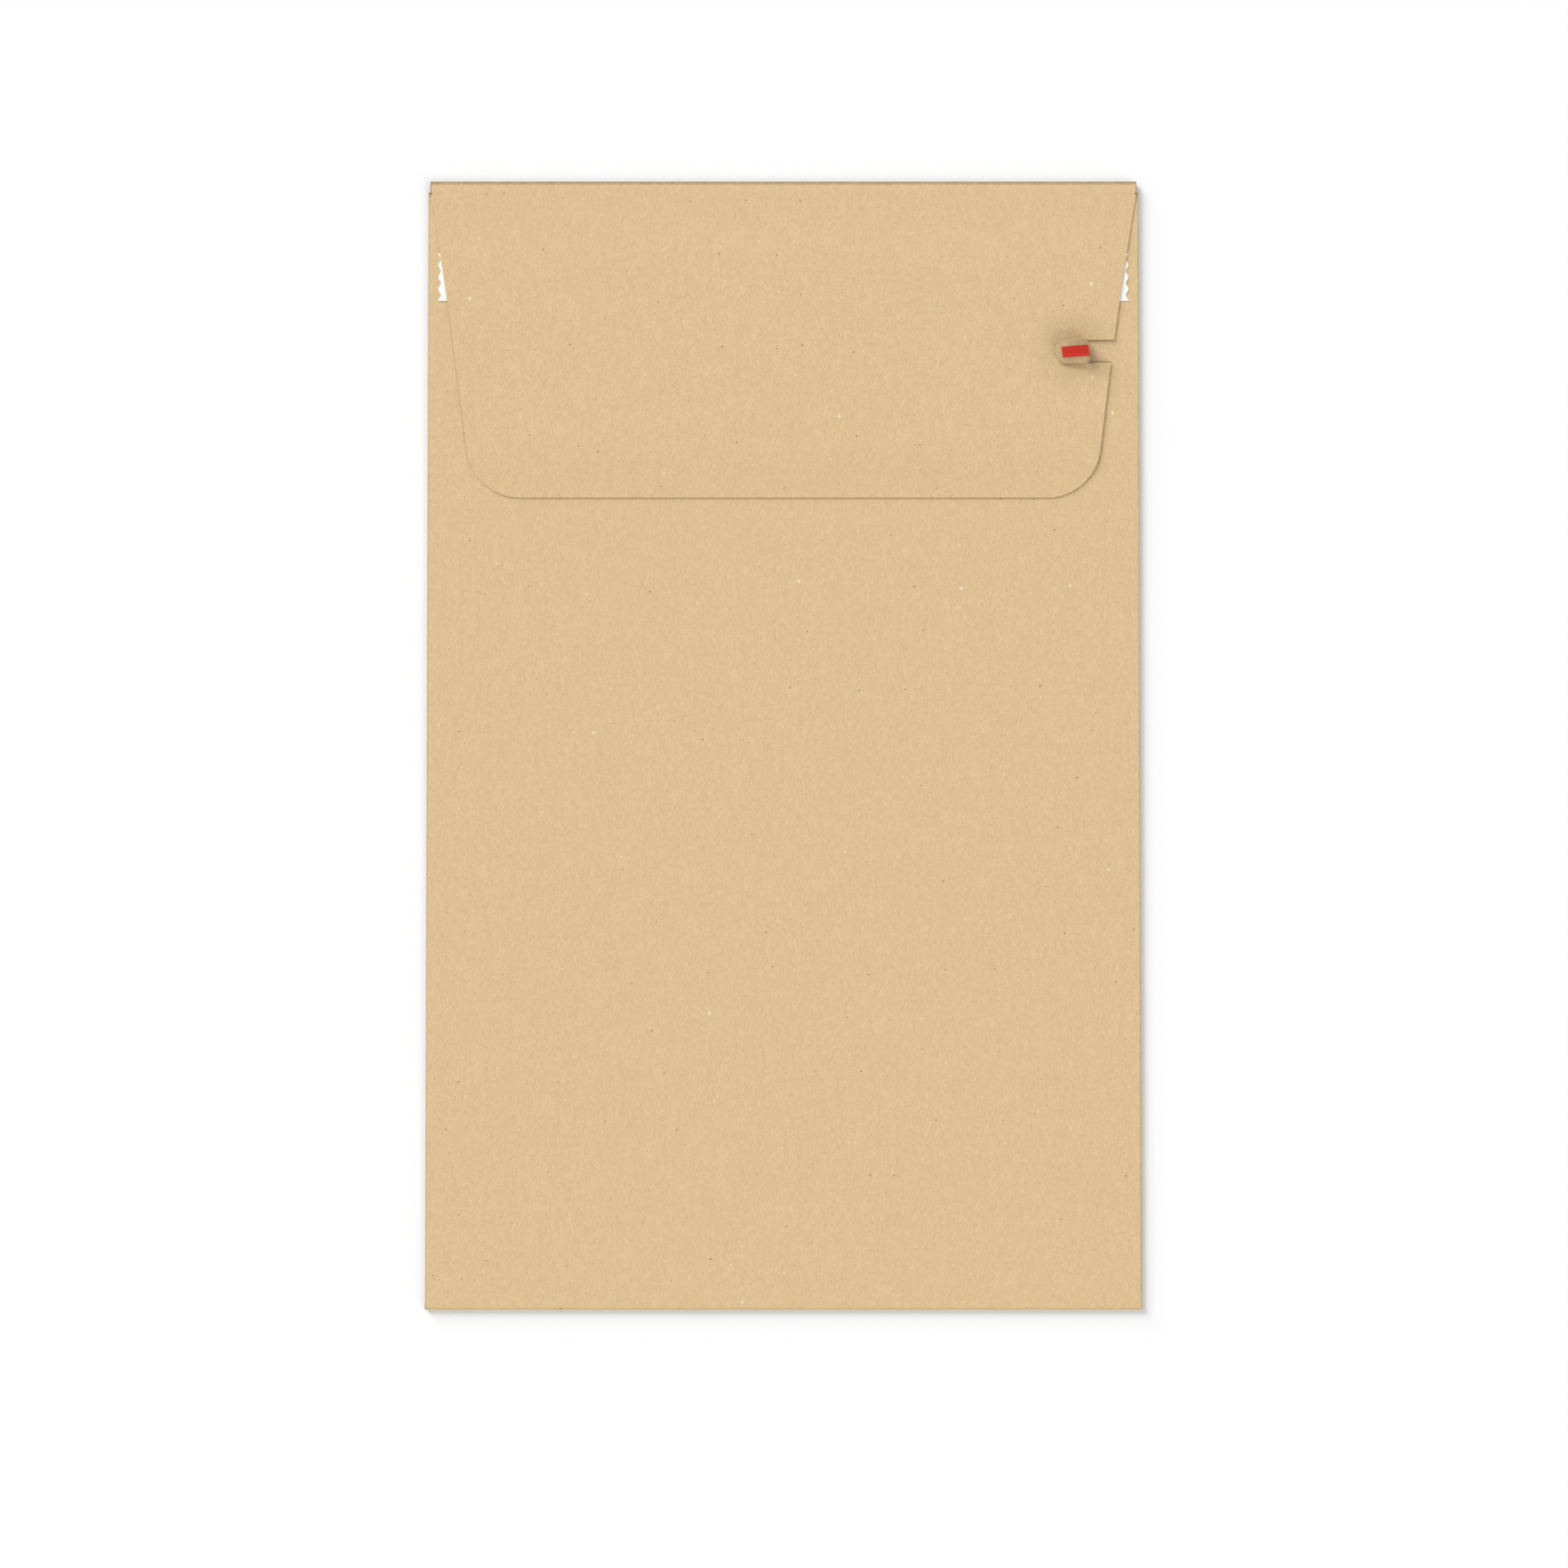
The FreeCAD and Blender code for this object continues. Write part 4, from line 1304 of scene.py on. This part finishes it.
@dataclass
class Studio:
    """Pale floor, two softboxes, an even sky and the camera straight above."""

    lamps: tuple[Softbox, ...] = (
        Softbox("key", azimuth=math.radians(130), elevation=math.radians(21),
                spread=math.radians(34), share=0.38),
        Softbox("fill", azimuth=math.radians(315), elevation=math.radians(30),
                spread=math.radians(28), share=0.10))
    sky: float = 0.52
    floor_size: float = 8.0
    floor_colour: Colour = (0.8, 0.8, 0.8)
    aim: Vector = field(default_factory=lambda: Vector((0.21 * MM, -14.4 * MM, 1.3 * MM)))
    camera_distance: float = 763.2 * MM
    camera_pitch: float = math.radians(1.12)
    lens: float = 50.0
    sensor: float = 36.0
    clip: tuple[float, float] = (0.01, 50.0)

    def build(self) -> None:
        """Set up the whole studio."""
        self.lay_floor()
        self.light_sky()
        for lamp in self.lamps:
            lamp.hang()
        self.set_camera()
        bpy.context.scene.view_settings.view_transform = "Standard"

    def lay_floor(self) -> None:
        """Lay a white floor that stays white to the camera and keeps the bag's shadow."""
        bpy.ops.object.select_all(action="DESELECT")
        bpy.ops.mesh.primitive_plane_add(size=self.floor_size)
        floor = bpy.context.object
        floor.name = "floor"
        material, graph = new_material("floor_white")
        seen = graph.add("ShaderNodeLightPath").outputs["Is Camera Ray"]
        white = graph.blend(seen, opaque(self.floor_colour), opaque(WHITE))
        shader = graph.add("ShaderNodeBsdfDiffuse", {"Color": white})
        graph.add("ShaderNodeOutputMaterial", {"Surface": shader.outputs[0]})
        floor.data.materials.append(material)

    def light_sky(self) -> None:
        """Light from all round, seen as plain white by the camera and in reflections."""
        world = bpy.data.worlds.new("studio")
        bpy.context.scene.world = world
        world.use_nodes = True
        graph = Graph(world.node_tree)
        path = graph.add("ShaderNodeLightPath").outputs
        seen = graph.math("MAXIMUM", path["Is Camera Ray"], path["Is Glossy Ray"])
        seen = graph.math("MAXIMUM", seen, path["Is Transmission Ray"])
        strength = graph.ramp(seen, 0.0, 1.0, self.sky, 1.0)
        sky = graph.add("ShaderNodeBackground", {"Color": opaque(WHITE), "Strength": strength})
        graph.add("ShaderNodeOutputWorld", {"Surface": sky.outputs[0]})

    def set_camera(self) -> None:
        """Hang the camera over the bag, pitched a little so that the bottom edge is nearer."""
        data = bpy.data.cameras.new("camera")
        data.lens = self.lens
        data.sensor_width = self.sensor
        camera = bpy.data.objects.new("camera", data)
        bpy.context.scene.collection.objects.link(camera)
        back = Vector((0, -math.sin(self.camera_pitch), math.cos(self.camera_pitch)))
        camera.location = self.aim + back * self.camera_distance
        camera.rotation_euler = (self.camera_pitch, 0, 0)
        data.clip_start, data.clip_end = self.clip
        bpy.context.scene.camera = camera


# --------------------------------------------------------------------------- main


def set_in_place(piece: bpy.types.Object, node: str) -> None:
    """Let a finished piece stand for a node and ride on the bag."""
    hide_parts(node)
    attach(piece, BODY)
    LOG.info("%s stands for %s: %d faces", piece.name, node, len(piece.data.polygons))


def strip_in_flap(paper: Paper, name: str, node: str, thickness: float, above: float, **more) -> Strip:
    """Strip on the inside of the flap, placed by its node's box.

    Args:
        paper: Sizes of the folded sheet.
        name: Name of the piece.
        node: Name of the node it stands for.
        thickness: Its thickness.
        above: Thickness of what lies between it and the flap.
        **more: Further fields of the strip.

    Returns:
        The strip, drawn in the flap's frame.
    """
    low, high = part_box(node)
    level = paper.roll_radius - paper.thickness - above - thickness / 2
    shift = Vector((0, paper.flap_frame.along, 0))
    low, high = low - shift, high - shift
    return Strip(name, Vector((low.x, low.y, level)), Vector((high.x, high.y, level)), thickness,
                 flap_frame=paper.flap_frame, **more)


def strip_on_bag(name: str, node: str, **more) -> Strip:
    """Strip on the rear panel, placed by its node's box; returns it."""
    low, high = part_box(node)
    level = (low.z + high.z) / 2
    return Strip(name, Vector((low.x, low.y - STUCK_LOW, level)), Vector((high.x, high.y - STUCK_LOW, level)),
                 high.z - low.z, **more)


def main() -> None:
    """Build and dress each piece, then set up the studio."""
    logging.basicConfig(level=logging.INFO, format="%(message)s")
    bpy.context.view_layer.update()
    bag_low, bag_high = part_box("paper_bag")
    tape_low, tape_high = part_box("tear_tape")
    paper = Paper(half_width=bag_high.x, top=bag_high.y, tear_line=(tape_low.y + tape_high.y) / 2)
    at_flap = paper.flap_frame
    root = Vector((paper.tab_root, paper.tear_line,
                   at_flap.height + paper.roll_radius - paper.thickness / 2
                   - paper.tear_y * math.tan(at_flap.rise)))
    lie = Lie(half_width=paper.half_width, bottom=bag_low.y, top=paper.top, tab_root=root,
              tab_top=root.z + 2 * paper.curl_radius + paper.thickness,
              flap_level=at_flap.height + paper.roll_radius - paper.thickness - HAIR,
              flap_length=paper.flap_length, leaf_length=paper.leaf_length)
    kraft = KraftFinish(half_width=paper.half_width, top=paper.top, bottom=bag_low.y, tab_root=root,
                        slit_length=paper.slit_length, slit_reach=paper.opening,
                        mouth=paper.mouth, neck_inset=paper.neck_inset)
    set_in_place(PaperBag(paper, lie, kraft).build(), "paper_bag")
    tape = TearTape(paper, lie, TapeFinish(), width=tape_high.y - tape_low.y - TAPE_SHRINK)
    set_in_place(tape.build(), "tear_tape")
    glue = HOT_MELT.material("adhesive_film")
    white = SILICONISED_PAPER.material("liner_paper")
    strips = [(strip_on_bag("return_glue", "return_adhesive"), glue, Slot.ADHESIVE, "return_adhesive"),
              (strip_on_bag("return_cover", "return_liner", teeth=4), white, Slot.LINER, "return_liner"),
              (strip_in_flap(paper, "closing_glue", "closing_adhesive", FILM, 0.0), glue, Slot.ADHESIVE,
               "closing_adhesive"),
              (strip_in_flap(paper, "closing_cover", "closing_liner", LINER_PAPER, FILM, teeth=4), white,
               Slot.LINER, "closing_liner")]
    for strip, material, slot, node in strips:
        set_in_place(strip.build(lie, material), node)
    Studio().build()


if __name__ == "__main__":
    main()
